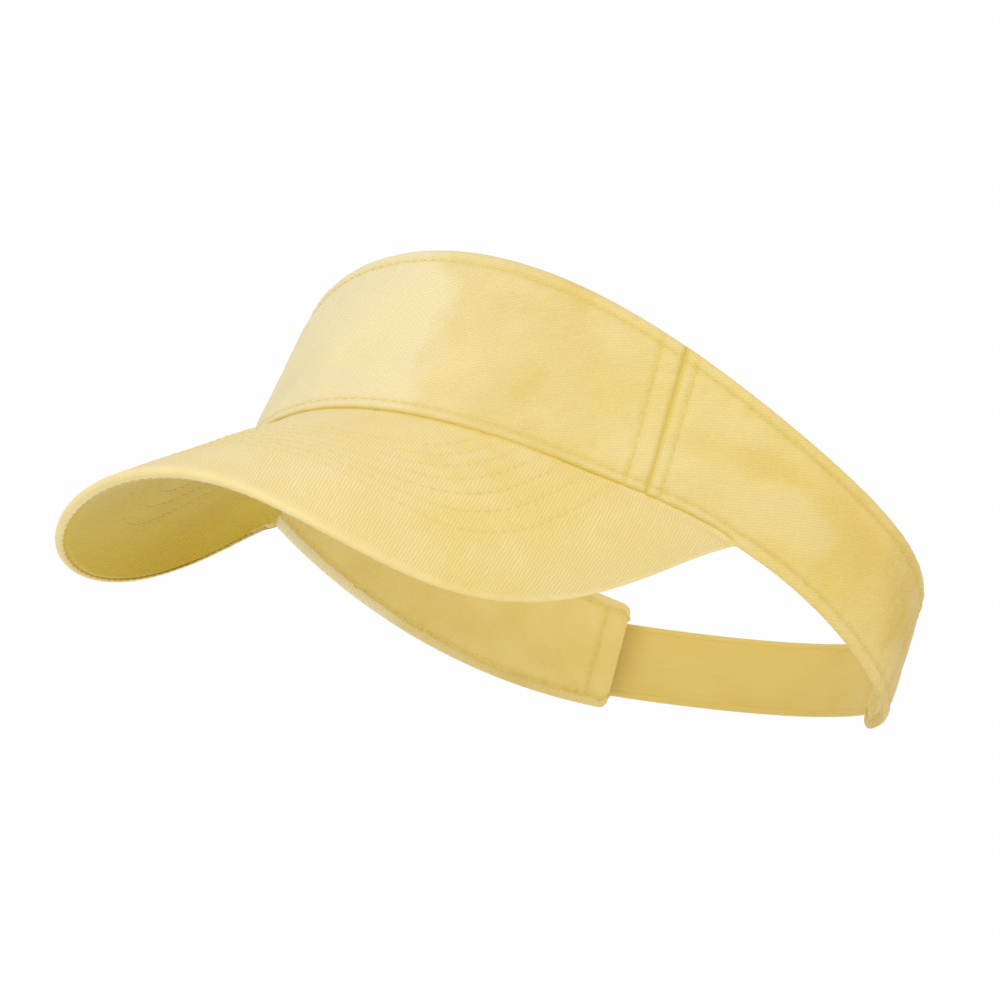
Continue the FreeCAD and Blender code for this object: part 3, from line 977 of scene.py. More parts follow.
def outer_panel(name, start, finish, across, depth, weave_offset):
    """An outer cloth between two leaning planes, turned in over both its edges."""
    wrap = Wrap(depth, steps=64)
    angle, height, _, _ = panel_grid(
        start, finish, across, lambda angle: (lower_edge(angle), upper_edge(angle)), wrap.share, wrap.up
    )
    relief = outer_relief(angle, height) * wrap.face
    points = band_point(angle, height, wrap.out + relief)
    # Painted shade: a dark line along the band's foot on the brim, joined to the grooves' painted shade.
    on_brim = 1 - smooth(points[..., 1], BRIM_REAR - 2 * MM, BRIM_REAR)
    foot = 1.4 * on_brim * bell(height - lower_edge(angle), 1.1 * MM)
    grooves = np.maximum(band_grooves(angle, height) * wrap.face, foot)
    weave = band_weave(angle, height, weave_offset)
    return thicken(grid_piece(name, points, weave=weave, relief=relief / MM, grooves=grooves), CLOTH)


def facing(name, start, finish, across, depth, weave_offset):
    """The inner cloth: a face towards the head whose edges dive under the outer cloth's lips."""
    tuck = LIP + depth / 2 - 0.25 * MM
    angle, height, low, high = panel_grid(
        start, finish, across, lambda angle: (facing_low(angle, tuck), upper_edge(angle) - tuck),
        np.linspace(0, 1, 44),
    )
    edge = np.minimum(height - low, high - height)
    dive = 0.5 * MM * bell(edge, 0.6 * MM)
    relief = inner_relief(angle, height)
    points = band_point(angle, height, dive + relief - depth)
    weave = band_weave(angle, height, weave_offset)
    # Painted shade: darker in the stitch grooves and along the edges, where they dive under the outer
    # cloth's lips.
    grooves = np.maximum(band_grooves(angle, height), bell(edge, 0.7 * MM))
    piece = grid_piece(name, points, flip=True, weave=weave, relief=-relief / MM, grooves=grooves)
    return thicken(piece, CLOTH)


def facing_low(angle, tuck):
    """The facing's lower edge. In front it comes down over the brim's rear edge."""
    low = lower_edge(angle)
    inside = band_point(angle, low, -FRONT_DEPTH)
    x, y = inside[..., 0], inside[..., 1]
    roll, sweep = brim_turns(x, y)
    depth = full_brim_depth(roll) / brim_normal(roll, sweep)[..., 2]
    underside = np.minimum(brim_height(x, y) - depth - 0.5 * MM, low + tuck)
    on_brim = 1 - smooth(y, BRIM_REAR - 14 * MM, BRIM_REAR - 4 * MM)
    return mix(low + tuck, underside, on_brim)


def on_plane(plane, side):
    """The angle of a leaning plane at any height, on one side of the head."""
    return lambda height: side * angle_on(plane, height)


def moved(plane, distance):
    """The same leaning plane, further back by a distance."""
    return plane[0] + distance, plane[1]


def build_band():
    front_ends = on_plane(SEAM, RIGHT), on_plane(SEAM, LEFT)
    front = outer_panel("front_panel_cloth", *front_ends, across=240, depth=FRONT_DEPTH, weave_offset=0.0)
    finish_piece(front, MATERIAL["band"], "visor", "band_cloth", "front_panel")
    lining = facing("front_facing_cloth", *front_ends, across=190, depth=FRONT_DEPTH, weave_offset=3 * MM)
    finish_piece(lining, MATERIAL["facing"], "visor", "facing_cloth", "front_facing")
    for name, side, end in SIDES:
        ends = (on_plane(SEAM, side), on_plane(end, side))[::side]
        panel = outer_panel(
            f"{name}_side_panel_cloth", *ends, across=250, depth=SIDE_DEPTH, weave_offset=11 * MM
        )
        finish_piece(panel, MATERIAL["band"], "visor", "band_cloth", f"{name}_side_panel")
        inner = facing(f"{name}_facing_cloth", *ends, across=200, depth=SIDE_DEPTH, weave_offset=17 * MM)
        finish_piece(inner, MATERIAL["facing"], "visor", "facing_cloth", f"{name}_facing")


def row_path(angle, height, inner=False):
    """Points and outward directions along a row of stitches on the band."""
    if inner:
        depth = np.where(behind_plane(SEAM, angle, height) < 0, FRONT_DEPTH, SIDE_DEPTH)
        outset = inner_relief(angle, height) - depth
    else:
        outset = outer_relief(angle, height)
    outward = away_from_head(angle)
    return band_point(angle, height, outset), -outward if inner else outward


def settle_row(angle_rule, height_rule, count):
    """Angles and heights along a row, where each follows from the other."""
    share = np.linspace(0, 1, count)
    height = np.zeros(count)
    for _ in range(14):
        angle = angle_rule(height, share)
        height = height_rule(angle, share)
    return angle, height


def between_ends(height, share):
    """Angles from the row at the right end of the band to the one at its left end."""
    left = angle_on(moved(LEFT_END, -END_ROW), height)
    right = -angle_on(moved(RIGHT_END, -END_ROW), height)
    return mix(right, left, share)


def upright_row(plane, side, above_low, below_high, count):
    """A row on a leaning plane, from above the lower edge to below the upper one."""
    return settle_row(
        lambda height, share: side * angle_on(plane, height),
        lambda angle, share: mix(lower_edge(angle) + above_low, upper_edge(angle) - below_high, share),
        count,
    )


def finish_band_stitches(name, rows):
    piece = joined(f"{name}_stitches", rows)
    finish_piece(piece, MATERIAL["thread"], "visor", "thread", f"{name}_thread")


def stitch_both_faces(name, angle, height):
    finish_band_stitches(name, [
        stitches(f"{name}_outside", *row_path(angle, height)),
        stitches(f"{name}_inside", *row_path(angle, height, inner=True), start=INNER_START),
    ])


def build_band_stitches():
    for name, rule in (
        ("upper_edge", lambda angle, share: upper_edge(angle) - EDGE_ROW),
        ("lower_edge", lambda angle, share: lower_edge(angle) + EDGE_ROW),
    ):
        stitch_both_faces(name, *settle_row(between_ends, rule, 1600))
    for name, side, end in SIDES:
        rows = []
        for plane in (moved(SEAM, -SEAM_ROW_FRONT), moved(SEAM, SEAM_ROW_REAR)):
            row = upright_row(plane, side, above_low=1.5 * MM, below_high=1.0 * MM, count=200)
            rows.append(stitches(f"{name}_seam_row", *row_path(*row)))
        finish_band_stitches(f"{name}_seam", rows)
        row = upright_row(moved(end, -END_ROW), side, above_low=EDGE_ROW, below_high=EDGE_ROW, count=160)
        stitch_both_faces(f"{name}_end", *row)


# ---------------------------------------------------------------- brim pieces

def edge_radius(side_share):
    """Half the thickness of the brim's rounded edge, which runs out at both corners."""
    from_corner = 1 - np.abs(side_share)
    side = mix(CORNER_EDGE, SIDE_EDGE, smooth(from_corner, 0, 0.10))
    return mix(side, BRIM_EDGE_DEPTH / 2, smooth(from_corner, 0.4, 0.85))


def hem_width(side_share):
    """How far the upper cover's hem reaches in below; it runs out towards the corners."""
    return HEM_ROW * smooth(1 - np.abs(side_share), 0.1, 0.8)


def plan_inset(side_share, distance):
    """A distance in from the brim's edge, measured along its face, as it is in plan."""
    roll, _ = brim_turns(*brim_outline(side_share))
    return distance * np.cos(roll)


def brim_depth_at(x, y, side_share, from_edge=1.0):
    """Thickness of the brim square to its face: thin at the edge and full over the board.

    With no distance from the edge given, it is the one over the board."""
    roll, _ = brim_turns(x, y)
    over_board = smooth(from_edge, 0.8 * MM, 3.8 * MM)
    return mix(2 * edge_radius(side_share), full_brim_depth(roll), over_board)


class RowField:
    """Distance in plan from any point to the nearest of the brim's stitched rows."""

    def __init__(self):
        share = np.linspace(-1, 1, 500)
        rows = [row_outline(share, ROW_STEP * index) for index in range(ROW_COUNT)]
        points = np.concatenate([np.stack([x, y, 0 * x], -1) for x, y in rows])
        self.tree = KDTree(len(points))
        for index, point in enumerate(points):
            self.tree.insert(point, index)
        self.tree.balance()

    def __call__(self, x, y):
        flat = np.stack([x.ravel(), y.ravel(), 0 * x.ravel()], -1)
        return np.array([self.tree.find(point)[2] for point in flat]).reshape(x.shape)


# How the covers leave the torus: sunk rows, the quilting between them, soft unevenness.
BRIM_ROW_SINK, BRIM_QUILT, UNDER_ROW_SINK = 0.10 * MM, 0.05 * MM, 0.08 * MM
BRIM_BROAD_RISE, BRIM_FINE_RISE, UNDER_BROAD_RISE = 0.10 * MM, 0.02 * MM, 0.15 * MM
BRIM_RINGS = 337
BRIM_ROWS = RowField()
BRIM_BROAD = Ripples(21, 38 * MM)
BRIM_FINE = Ripples(23, 6 * MM)


def brim_relief(x, y):
    """How far the upper cover stands off the torus: sunk rows, soft unevenness."""
    near = BRIM_ROWS(x, y)
    quilt = BRIM_QUILT * bell(near, 2.2 * MM)
    uneven = BRIM_BROAD_RISE * BRIM_BROAD(x, y) + BRIM_FINE_RISE * BRIM_FINE(x, y)
    return quilt - BRIM_ROW_SINK * bell(near, 0.55 * MM) + uneven


def seam_plan(side_share):
    """Plan of the line where the band stands on the brim, for the same share as the outline."""
    left = LOWER_EDGE[0][LOWER_EDGE[0] >= 0]
    corner = np.interp(BRIM_REAR, band_point(left, lower_edge(left))[:, 1], left)
    angle = corner * side_share
    point = band_point(angle, lower_edge(angle), -SEAM_TUCK)
    return point[..., 0], point[..., 1]


def between_plans(start, finish, share):
    """Plan coordinates over a grid that runs from one line to another."""
    x = mix(start[0][:, None], finish[0][:, None], share)
    y = mix(start[1][:, None], finish[1][:, None], share)
    return x, y


def brim_edge_frame(side_share):
    """Plan and outward direction of the middle of the brim's rounded edge."""
    x, y = brim_outline(side_share, plan_inset(side_share, edge_radius(side_share)))
    top = brim_point(x, y, 0 * x)
    tangent = unit(np.gradient(top, axis=0))
    normal = brim_normal(*brim_turns(x, y))
    return x, y, normal, unit(np.cross(tangent, normal))


def brim_shares():
    """Shares round the brim, closer together towards both corners."""
    across = np.linspace(-1, 1, BRIM_RINGS)
    return 0.3 * np.sin(across * math.pi / 2) + 0.7 * across


def column(values):
    """One value for each ring, ready for a grid of points."""
    return values[:, None, None]


def build_brim():
    side_share = brim_shares()
    build_brim_cover(side_share)
    build_brim_underside(side_share)
    build_brim_board(side_share)
    build_brim_stitches()


def build_brim_cover(side_share):
    """The upper cover: the face, the turn over the edge and the hem underneath."""
    edge_x, edge_y, normal, outward = brim_edge_frame(side_share)
    radius = edge_radius(side_share)
    run = 1 - (1 - np.linspace(0, 1, 120)) ** 1.15
    x, y = between_plans(seam_plan(side_share), (edge_x, edge_y), run)
    relief = brim_relief(x, y)
    top = brim_point(x, y, relief)
    bend = np.linspace(0, math.pi, 13)[1:]
    cosine, sine = np.cos(bend)[None, :, None], np.sin(bend)[None, :, None]
    roll = brim_point(edge_x, edge_y, -radius)[:, None, :] + column(radius) * (
        cosine * normal[:, None, :] + sine * outward[:, None, :]
    )
    roll = roll + relief[:, -1:, None] * normal[:, None, :] * (1 - bend / math.pi)[None, :, None]
    turn_under = 1.6 * hem_width(side_share)
    hem = brim_outline(side_share, plan_inset(side_share, radius + turn_under))
    back = np.linspace(0, 1, 9)[1:]
    under_x, under_y = between_plans((edge_x, edge_y), hem, back)
    tuck = 0.35 * MM * bell(1 - back, 0.15)
    from_edge = radius[:, None] + turn_under[:, None] * back
    under_depth = brim_depth_at(under_x, under_y, side_share[:, None], from_edge)
    under = brim_point(under_x, under_y, tuck - under_depth)
    weave = brim_weave(x, y)
    step = unit(weave[:, -1:] - weave[:, -3:-2])
    roll_weave = weave[:, -1:] + step * column(radius) / MM * bend[None, :, None]
    under_weave = roll_weave[:, -1:] + step * column(turn_under / MM) * back[None, :, None]
    flat = np.zeros((len(side_share), len(bend) + len(back)))
    # Painted shade: darker in the rows' grooves, around the band's foot and on the hem just inside the
    # turned edge.
    rows = bell(BRIM_ROWS(x, y), 0.6 * MM)
    foot = bell(np.hypot(x - x[:, :1], y - y[:, :1]) - 0.7 * MM, 0.5 * MM)
    turned = np.concatenate([0 * bend, 0.3 * bell(1 - back, 0.25)])
    near_edge = smooth(run, 0.965, 1.0) + 0 * x
    cover = grid_piece(
        "brim_top_cloth", np.concatenate([top, roll, under], 1), flip=True,
        weave=np.concatenate([weave, roll_weave, under_weave], 1),
        relief=np.concatenate([relief, flat], 1) / MM,
        grooves=np.concatenate([np.maximum(0.12 * rows, 1.2 * foot), flat + turned], 1),
        plain=np.concatenate([near_edge, flat + 1], 1),
    )
    thicken(cover, BRIM_CLOTH)
    finish_piece(cover, MATERIAL["brim"], "visor", "brim_cloth", "brim_top_cover")


def build_brim_underside(side_share):
    """The lower cover, whose edge is tucked under the hem of the upper one."""
    hem = edge_radius(side_share) + hem_width(side_share)
    edge = brim_outline(side_share, plan_inset(side_share, hem))
    outline_x, outline_y = brim_outline(side_share)
    run = 1 - (1 - np.linspace(0, 1, 90)) ** 1.3
    x, y = between_plans(seam_plan(side_share), edge, run)
    from_edge = np.hypot(x - outline_x[:, None], y - outline_y[:, None]) / np.cos(brim_turns(x, y)[0])
    lift = brim_underside_lift(x, y, side_share[:, None], from_edge)
    # Painted shade: the rows' grooves on the lower cover are painted darker.
    piece = grid_piece(
        "brim_bottom_cloth", brim_point(x, y, lift), weave=brim_weave(x, y),
        relief=under_unevenness(x, y) / MM, grooves=0.2 * bell(BRIM_ROWS(x, y), 0.7 * MM),
    )
    thicken(piece, BRIM_CLOTH)
    finish_piece(piece, MATERIAL["underside"], "visor", "brim_cloth", "brim_bottom_cover")


def build_brim_board(side_share):
    """The stiff board between the covers, thinner towards the sides like the brim."""
    side_share = side_share[::4] * 0.93
    seam_x, seam_y = seam_plan(side_share)
    edge_x, edge_y = brim_outline(side_share, plan_inset(side_share, BOARD_INSET))
    reach = np.hypot(edge_x - seam_x, edge_y - seam_y)
    run = mix((BOARD_INSET / reach)[:, None], 1, np.linspace(0, 1, 24))
    x, y = between_plans((seam_x, seam_y), (edge_x, edge_y), run)
    board = grid_piece("brim_board_sheet", brim_point(x, y, 0 * x - BOARD_SINK), flip=True)
    thicken(board, BOARD)
    room = brim_depth_at(x, y, side_share[:, None]) - BOARD_CLEARANCE
    thin = board.vertex_groups.new(name="thickness")
    for index, share in enumerate(np.clip(room / BOARD, 0.05, 1).ravel().tolist()):
        thin.add([index], share, "REPLACE")
    board.modifiers["thickness"].vertex_group = thin.name
    finish_piece(board, MATERIAL["board"], "visor", "board", "brim_board")


def under_unevenness(x, y):
    return UNDER_BROAD_RISE * BRIM_BROAD(1.1 * x, y)


def brim_underside_lift(x, y, side_share, from_edge=1.0):
    """How far the lower cover's face lies above the torus; it is negative."""
    relief = under_unevenness(x, y) - UNDER_ROW_SINK * bell(BRIM_ROWS(x, y), 0.8 * MM)
    return UNDERSIDE_LIFT - relief - brim_depth_at(x, y, side_share, from_edge)


def build_brim_stitches():
    above, below = [], []
    for index in range(ROW_COUNT):
        x, y = row_outline(np.linspace(-0.93, 0.93, 1400), ROW_STEP * index)
        angle = np.arctan2(x / HALF_WIDTH, -y / HALF_LENGTH)
        seam = band_point(angle, lower_edge(angle))
        outside = np.hypot(x, y) > np.hypot(seam[:, 0], seam[:, 1]) + 1.5 * MM
        x, y = x[outside], y[outside]
        normal = brim_normal(*brim_turns(x, y))
        start = 0.7 * MM * (index % 3)
        above.append(stitches(f"brim_row_{index}", brim_point(x, y, brim_relief(x, y)), normal, start=start))
        path = brim_point(x, y, brim_underside_lift(x, y, 0 * x))
        below.append(stitches(f"brim_under_row_{index}", path, -normal, start=start))
    piece = joined("brim_row_stitches", above)
    finish_piece(piece, MATERIAL["brim_thread"], "visor", "thread", "brim_row_thread")
    piece = joined("brim_row_stitches_below", below)
    finish_piece(piece, MATERIAL["hem_thread"], "visor", "thread")
    share = np.linspace(-0.985, 0.985, 1600)
    inset = edge_radius(share) + hem_width(share)
    x, y = brim_outline(share, plan_inset(share, inset))
    path = brim_point(x, y, -brim_depth_at(x, y, share, inset))
    hem = stitches("brim_hem_stitches", path, -brim_normal(*brim_turns(x, y)))
    finish_piece(hem, MATERIAL["hem_thread"], "visor", "thread", "brim_hem_thread")


# ---------------------------------------------------------------- strap and tapes

def strap_angles(share, height):
    """Angles from the sewn root inside the left end, round the back, to the free tip."""
    start = angle_on(moved(LEFT_END, -STRAP_ROOT), height)
    tip = 2 * math.pi - angle_on(STRAP_TIP, height)
    return mix(start, tip, share)


def closure_climb(angle, height):
    """How far the closure is lifted, growing from the right end of the band to the tip."""
    from_end = -behind_plane(RIGHT_END, angle, height)
    return CLOSURE_CLIMB * smooth(from_end, -5 * MM, 55 * MM) * (angle > math.pi)


def climbing_point(angle, height, outset, sidestep=0.0):
    return band_point(angle, height + closure_climb(angle, height), outset, sidestep)


def strap_point(angle, height, outset):
    return climbing_point(angle, height, outset, STRAP_SIDESTEP)


def strap_depth(angle, height):
    """The strap is pressed thin where it is sewn in."""
    free = smooth(behind_plane(LEFT_END, angle, height), -3 * MM, 1 * MM)
    return np.where(angle < math.pi, mix(STRAP_PRESSED, STRAP_DEPTH, free), STRAP_DEPTH)


STRAP_SOFT = Ripples(31, 26 * MM)


def build_strap():
    """The strap's outer cloth, turned in at both edges, and its lining."""
    share = np.linspace(0, 1, 230)[:, None]
    wrap = Wrap(STRAP_DEPTH, steps=34, lip=STRAP_LIP)
    height = STRAP_LOW + STRAP_HEIGHT * wrap.share + wrap.up + 0 * share
    angle = strap_angles(share, height)
    corner = STRAP_CORNER * np.clip(1 - (1 - share) / TIP_SHARE, 0, 1)
    squeeze = 1 - (STRAP_CORNER - np.sqrt(STRAP_CORNER ** 2 - corner ** 2)) / (STRAP_HEIGHT / 2)
    height = STRAP_MIDDLE + (height - STRAP_MIDDLE) * squeeze
    depth = strap_depth(angle, height)
    soft = 0.22 * MM * STRAP_SOFT(arc_at(np.minimum(angle, math.pi)) + angle * 0.05, height)
    from_middle = np.abs(height - STRAP_MIDDLE)
    # Painted shade: the rows' grooves are painted darker, besides being sunk.
    grooves = bell(STRAP_HEIGHT / 2 - STRAP_ROW - from_middle, 0.6 * MM) * wrap.face
    relief = soft * wrap.face - 0.06 * MM * grooves
    inner = STRAP_OUTSET + (STRAP_DEPTH - depth) / 2
    outset = inner + depth + wrap.out * depth / STRAP_DEPTH + relief
    outer = grid_piece(
        "strap_outer_cloth", strap_point(angle, height, outset),
        weave=band_weave(angle, height, 23 * MM), relief=relief / MM, grooves=0.15 * grooves,
    )
    thicken(outer, CLOTH)
    for piece, node, flat in (
        (outer, "strap_outer_layer", (0.028, 0.170)),
        (build_strap_lining(), "strap_inner_layer", (0.0185, 0.165)),
    ):
        finish_piece(piece, MATERIAL["strap"], None, "strap_cloth", node)
        blend_at_hinge(piece)


def build_strap_lining():
    """The strap's inner cloth, whose edges dive into the outer one's turned edges."""
    share = np.linspace(0, 1, 200)[:, None]
    rise = np.linspace(0, 1, 26)[None, :]
    height = mix(STRAP_LOW + LINING_MARGIN, STRAP_TOP - LINING_MARGIN, rise) + 0 * share
    angle = strap_angles(share * 0.992, height)
    depth = strap_depth(angle, height)
    edge = np.minimum(rise, 1 - rise) * (STRAP_HEIGHT - 2 * LINING_MARGIN)
    relief = 0.20 * MM * STRAP_SOFT(angle * 0.1 + 0.3, height)
    dive = 0.25 * MM * bell(edge, 0.5 * MM)
    outset = STRAP_OUTSET + (STRAP_DEPTH - depth) / 2 + dive + relief * 0.5
    # Painted shade: the lining is painted darker along its edges, where they dive under the outer cloth.
    piece = grid_piece(
        "strap_inner_cloth", strap_point(angle, height, outset), flip=True,
        weave=band_weave(angle, height, 29 * MM), relief=-relief / MM + 0 * angle,
        grooves=0.15 * bell(edge, 0.7 * MM) + 0 * angle,
    )
    return thicken(piece, CLOTH)


def blend_at_hinge(piece):
    """Bakes the piece's placement into its points. The root stays sewn into the band; the strap is not bent.
    """
    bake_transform(piece)


def build_strap_stitches():
    rows = []
    share = np.linspace(0.075, 0.97, 900)
    for height_at in (STRAP_LOW + STRAP_ROW, STRAP_TOP - STRAP_ROW):
        height = height_at + 0 * share
        angle = strap_angles(share, height)
        outset = STRAP_OUTSET + STRAP_DEPTH - 0.05 * MM
        rows.append(stitches("strap_row", strap_point(angle, height, outset), away_from_head(angle)))
    piece = joined("strap_edge_stitches", rows)
    finish_piece(piece, MATERIAL["strap_thread"], "strap", "thread", "strap_edge_thread")


def right_angles(span, height):
    return tuple(2 * math.pi - angle_on((place, TAPE_TILT), height) for place in span)


def tape_grid(span, rows, columns):
    """Angles and heights over a tape on the right side, from its rear to its front."""
    rise = np.linspace(0, 1, columns)[None, :]
    height = mix(STRAP_LOW + TAPE_MARGIN, STRAP_TOP - TAPE_MARGIN, rise) + np.zeros((rows, 1))
    front, rear = right_angles(span, height)
    return mix(rear, front, np.linspace(0, 1, rows)[:, None]), height


def build_tape(name, span, sidestep, face, depth_sign, material, slot, body, node):
    """A tape's backing with rounded borders. Its face looks towards the head where depth_sign
    is 1 and away from it where it is -1."""
    angle, height = tape_grid(span, 60, 26)
    rows = np.linspace(0, 1, 60)[:, None]
    columns = np.linspace(0, 1, 26)[None, :]
    border = np.minimum(np.minimum(rows, 1 - rows) * 40, np.minimum(columns, 1 - columns) * 18)
    edge = 1 - np.sqrt(1 - (1 - np.clip(border, 0, 1)) ** 2 * 0.999)
    outset = face - depth_sign * TAPE_ROUND * (1 - edge)
    points = climbing_point(angle, height, outset, sidestep)
    piece = thicken(grid_piece(name, points, flip=depth_sign > 0), TAPE_CLOTH)
    finish_piece(piece, material, body, slot, node)


def fibres(name, roots, outward, sideways, shapes, width):
    """Many short curved threads, each a thin strip of four sides."""
    steps = shapes.shape[1]
    centre = roots[:, None, :] + shapes[..., :1] * outward[:, None, :]
    centre = centre + shapes[..., 1:2] * sideways[:, None, :]
    along = unit(np.gradient(centre, axis=1))
    third = unit(np.cross(outward, sideways))[:, None, :] + 0 * along
    other = unit(np.cross(along, third))
    ring = [
        centre + width * (math.cos(turn) * third + math.sin(turn) * other)
        for turn in np.linspace(0, 2 * math.pi, 5)[:-1]
    ]
    return new_piece(name, np.stack(ring, 2), tube_faces(len(roots), steps, len(ring)))


def build_loops():
    """Soft pile: small arches of fibre that lean at random."""
    draw = np.random.default_rng(41)
    build_tape(
        "loop_backing", LOOP_SPAN, 0.0, LOOP_FACE, -1, MATERIAL["loop"], "loop_tape", "visor", "loop_strip"
    )
    count = 2600
    margin = TAPE_MARGIN + 0.5 * MM
    height = draw.uniform(STRAP_LOW + margin, STRAP_TOP - margin, count)
    front, rear = right_angles((LOOP_SPAN[0] + 0.5 * MM, LOOP_SPAN[1] - 0.5 * MM), height)
    angle = mix(rear, front, draw.uniform(0, 1, count))
    roots = climbing_point(angle, height, 0.35 * MM)
    turn = draw.uniform(0, 2 * math.pi, count)
    sideways = np.cos(turn)[:, None] * along_band(angle) + np.sin(turn)[:, None] * np.array([0, 0, 1.0])
    bend = np.linspace(0, math.pi, 7)
    tall = draw.uniform(0.35, 0.6, count)[:, None] * MM
    wide = draw.uniform(0.4, 0.9, count)[:, None] * MM
    shapes = np.stack([tall * np.sin(bend), -wide * np.cos(bend)], -1)
    pile = fibres("loop_pile_fibres", roots, away_from_head(angle), sideways, shapes, 0.045 * MM)
    finish_piece(pile, MATERIAL["loop"], "visor", "loop_tape")


def build_hooks():
    """Rows of small moulded hooks that point at the loops."""
    build_tape(
        "hook_backing", HOOK_SPAN, STRAP_SIDESTEP, STRAP_OUTSET - 0.1 * MM, 1, MATERIAL["hook"],
        "hook_tape", "strap", "hook_strip",
    )
    angle, height = tape_grid((HOOK_SPAN[0] + 1 * MM, HOOK_SPAN[1] - 1 * MM), 24, 17)
    height = mix(height, STRAP_MIDDLE, 0.06)
    angle, height = angle.ravel(), height.ravel()
    roots = climbing_point(angle, height, STRAP_OUTSET - 0.3 * MM, STRAP_SIDESTEP)
    facing_way = np.where(np.arange(len(angle)) % 2, 1.0, -1.0)[:, None]
    bend = np.linspace(0, 1.25 * math.pi, 8)
    rise = 0.32 * MM * np.sin(bend) + 0.28 * MM * smooth(bend, 0, 1.2)
    shape = np.stack([rise, 0.16 * MM * (1 - np.cos(bend))], -1)
    shapes = np.broadcast_to(shape, (len(angle), *shape.shape))
    sideways = along_band(angle) * facing_way
    hooks = fibres("hook_fibres", roots, -away_from_head(angle), sideways, shapes, 0.08 * MM)
    finish_piece(hooks, MATERIAL["hook"], "strap", "hook_tape")


# ---------------------------------------------------------------- inner CAD pieces

def dress_stiffener():
    """The stiffener keeps its CAD shape and gets a real material."""
    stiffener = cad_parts["front_stiffener"]
    stiffener.data.materials.clear()
    stiffener.data.materials.append(MATERIAL["buckram"])


# ---------------------------------------------------------------- stage, light and camera

FLOOR_LEVEL = -0.45
FLOOR_SIDE = 40.0
# The camera: direction, roll, distance, aim and lens that give the photograph's outline.
AZIMUTH = math.radians(38.99)
ELEVATION = math.radians(-7.54)
TILT = math.radians(8.2)
DISTANCE = 1871.1 * MM
AIM = (30.49 * MM, 23.58 * MM)
AIM_HEIGHT = 21.2 * MM
LENS = 249.6
# Strength of the surround as it lights the visor, below and above, and as the camera sees it.
SURROUND_LOW = 0.27
SURROUND_HIGH = 0.74
SURROUND_SEEN = 0.99
LAMP_TINT = (1.0, 0.99, 0.97)


def build_camera():
    back = Vector((
        math.sin(AZIMUTH) * math.cos(ELEVATION),
        -math.cos(AZIMUTH) * math.cos(ELEVATION),
        math.sin(ELEVATION),
    ))
    level = (-back).cross(Vector((0, 0, 1))).normalized()
    upright = level.cross(-back)
    right = level * math.cos(TILT) + upright * math.sin(TILT)
    up = upright * math.cos(TILT) - level * math.sin(TILT)
    centre = Vector(ORIGIN) + Vector((0, 0, AIM_HEIGHT))
    data = bpy.data.cameras.new("camera")
    data.lens = LENS
    data.sensor_width = 36.0
    data.clip_end = 100.0
    camera = bpy.data.objects.new("camera", data)
    bpy.context.scene.collection.objects.link(camera)
    camera.matrix_world = Matrix((
        (right.x, up.x, back.x, 0), (right.y, up.y, back.y, 0), (right.z, up.z, back.z, 0), (0, 0, 0, 1),
    ))
    camera.location = centre + back * DISTANCE - right * AIM[0] - up * AIM[1]
    bpy.context.scene.camera = camera
    return back, right, up


def area_light(name, place, target, side, power):
    data = bpy.data.lights.new(name, "AREA")
    data.shape = "SQUARE"
    data.size = side
    data.energy = power
    data.color = LAMP_TINT
    lamp = bpy.data.objects.new(name, data)
    bpy.context.scene.collection.objects.link(lamp)
    lamp.location = place
    lamp.rotation_mode = "QUATERNION"
    lamp.rotation_quaternion = (Vector(target) - Vector(place)).to_track_quat("-Z", "Y")


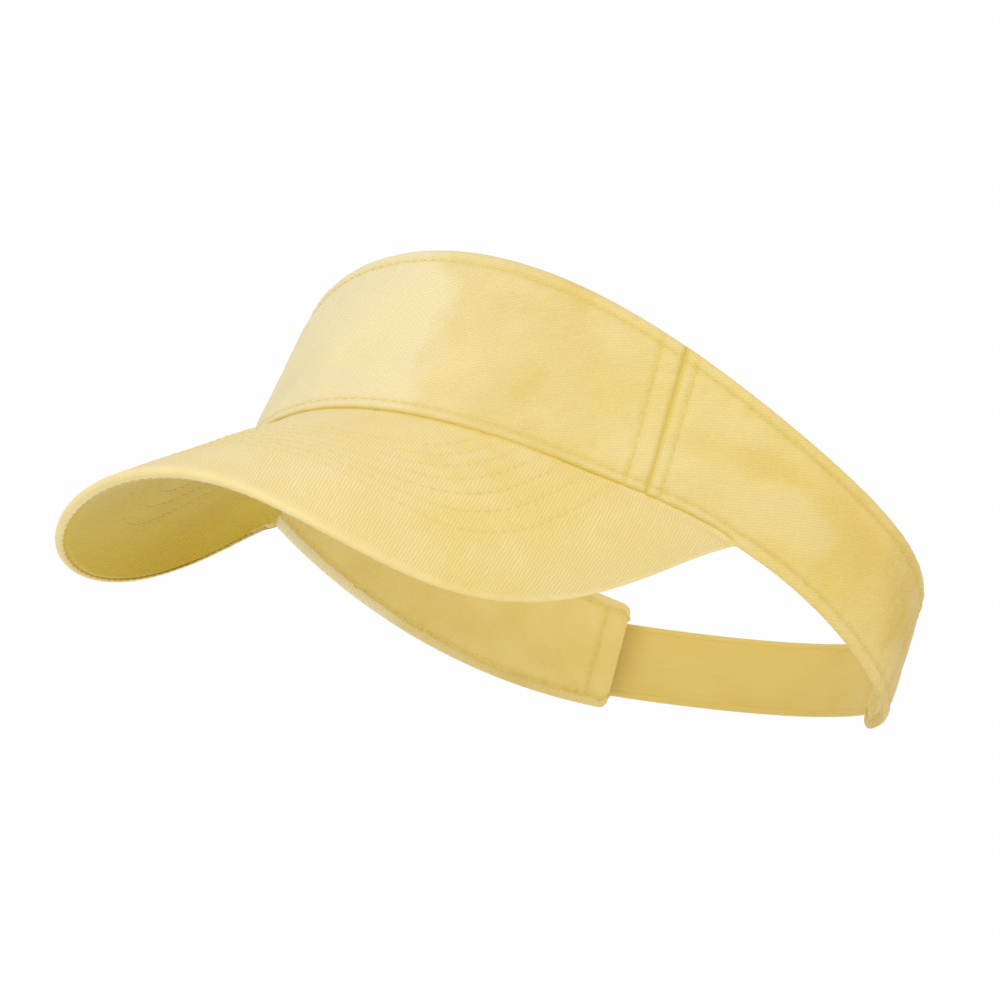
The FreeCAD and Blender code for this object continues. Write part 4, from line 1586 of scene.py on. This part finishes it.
def build_light(back, right, up):
    """A bright surround, paler above than below, a lamp on the camera's left and a fill on its right."""
    world = bpy.data.worlds.new("surround")
    bpy.context.scene.world = world
    world.use_nodes = True
    tree = world.node_tree
    background = tree.nodes["Background"]
    socket(background, "Color", (1.0, 1.0, 1.0, 1.0))
    direction = tree.nodes.new("ShaderNodeTexCoord")
    parts = tree.nodes.new("ShaderNodeSeparateXYZ")
    tree.links.new(direction.outputs["Generated"], parts.inputs[0])
    shade = tree.nodes.new("ShaderNodeMapRange")
    set_span(shade, low=-0.9, high=0.5, to_low=SURROUND_LOW, to_high=SURROUND_HIGH)
    tree.links.new(parts.outputs["Z"], shade.inputs["Value"])
    seen = tree.nodes.new("ShaderNodeLightPath")
    choose = tree.nodes.new("ShaderNodeMix")
    choose.data_type = "FLOAT"
    tree.links.new(seen.outputs["Is Camera Ray"], choose.inputs["Factor"])
    tree.links.new(shade.outputs["Result"], choose.inputs[2])
    choose.inputs[3].default_value = SURROUND_SEEN
    tree.links.new(choose.outputs[0], background.inputs["Strength"])
    centre = Vector(ORIGIN)
    key_place = centre + back * 1.0 - right * 1.1 + up * 1.2
    fill_place = centre + back * 1.4 + right * 1.2 + up * 0.3
    area_light("key", key_place, centre, side=1.1, power=11.5)
    area_light("fill", fill_place, centre, side=1.4, power=8.0)


def build_stage():
    corner = FLOOR_SIDE / 2
    mesh = bpy.data.meshes.new("floor")
    mesh.from_pydata(
        [
            (-corner, -corner, FLOOR_LEVEL), (corner, -corner, FLOOR_LEVEL),
            (corner, corner, FLOOR_LEVEL), (-corner, corner, FLOOR_LEVEL),
        ],
        [], [(0, 1, 2, 3)],
    )
    floor = bpy.data.objects.new("floor", mesh)
    bpy.context.scene.collection.objects.link(floor)
    n = Nodes("pale_floor")
    tone = n.span(n.noise(n.place(), 3.0, 2.0), 0.3, 0.7)
    tint = n.mix(tone, colour(246, 246, 245), colour(250, 250, 250))
    n.link(tint, n.shader.inputs["Base Color"])
    socket(n.shader, "Roughness", 0.9)
    mesh.materials.append(n.material)


def main():
    bpy.context.scene.view_settings.view_transform = "Standard"
    directions = build_camera()
    build_light(*directions)
    build_stage()
    build_band()
    build_band_stitches()
    build_brim()
    build_strap()
    build_strap_stitches()
    build_loops()
    build_hooks()
    dress_stiffener()


main()
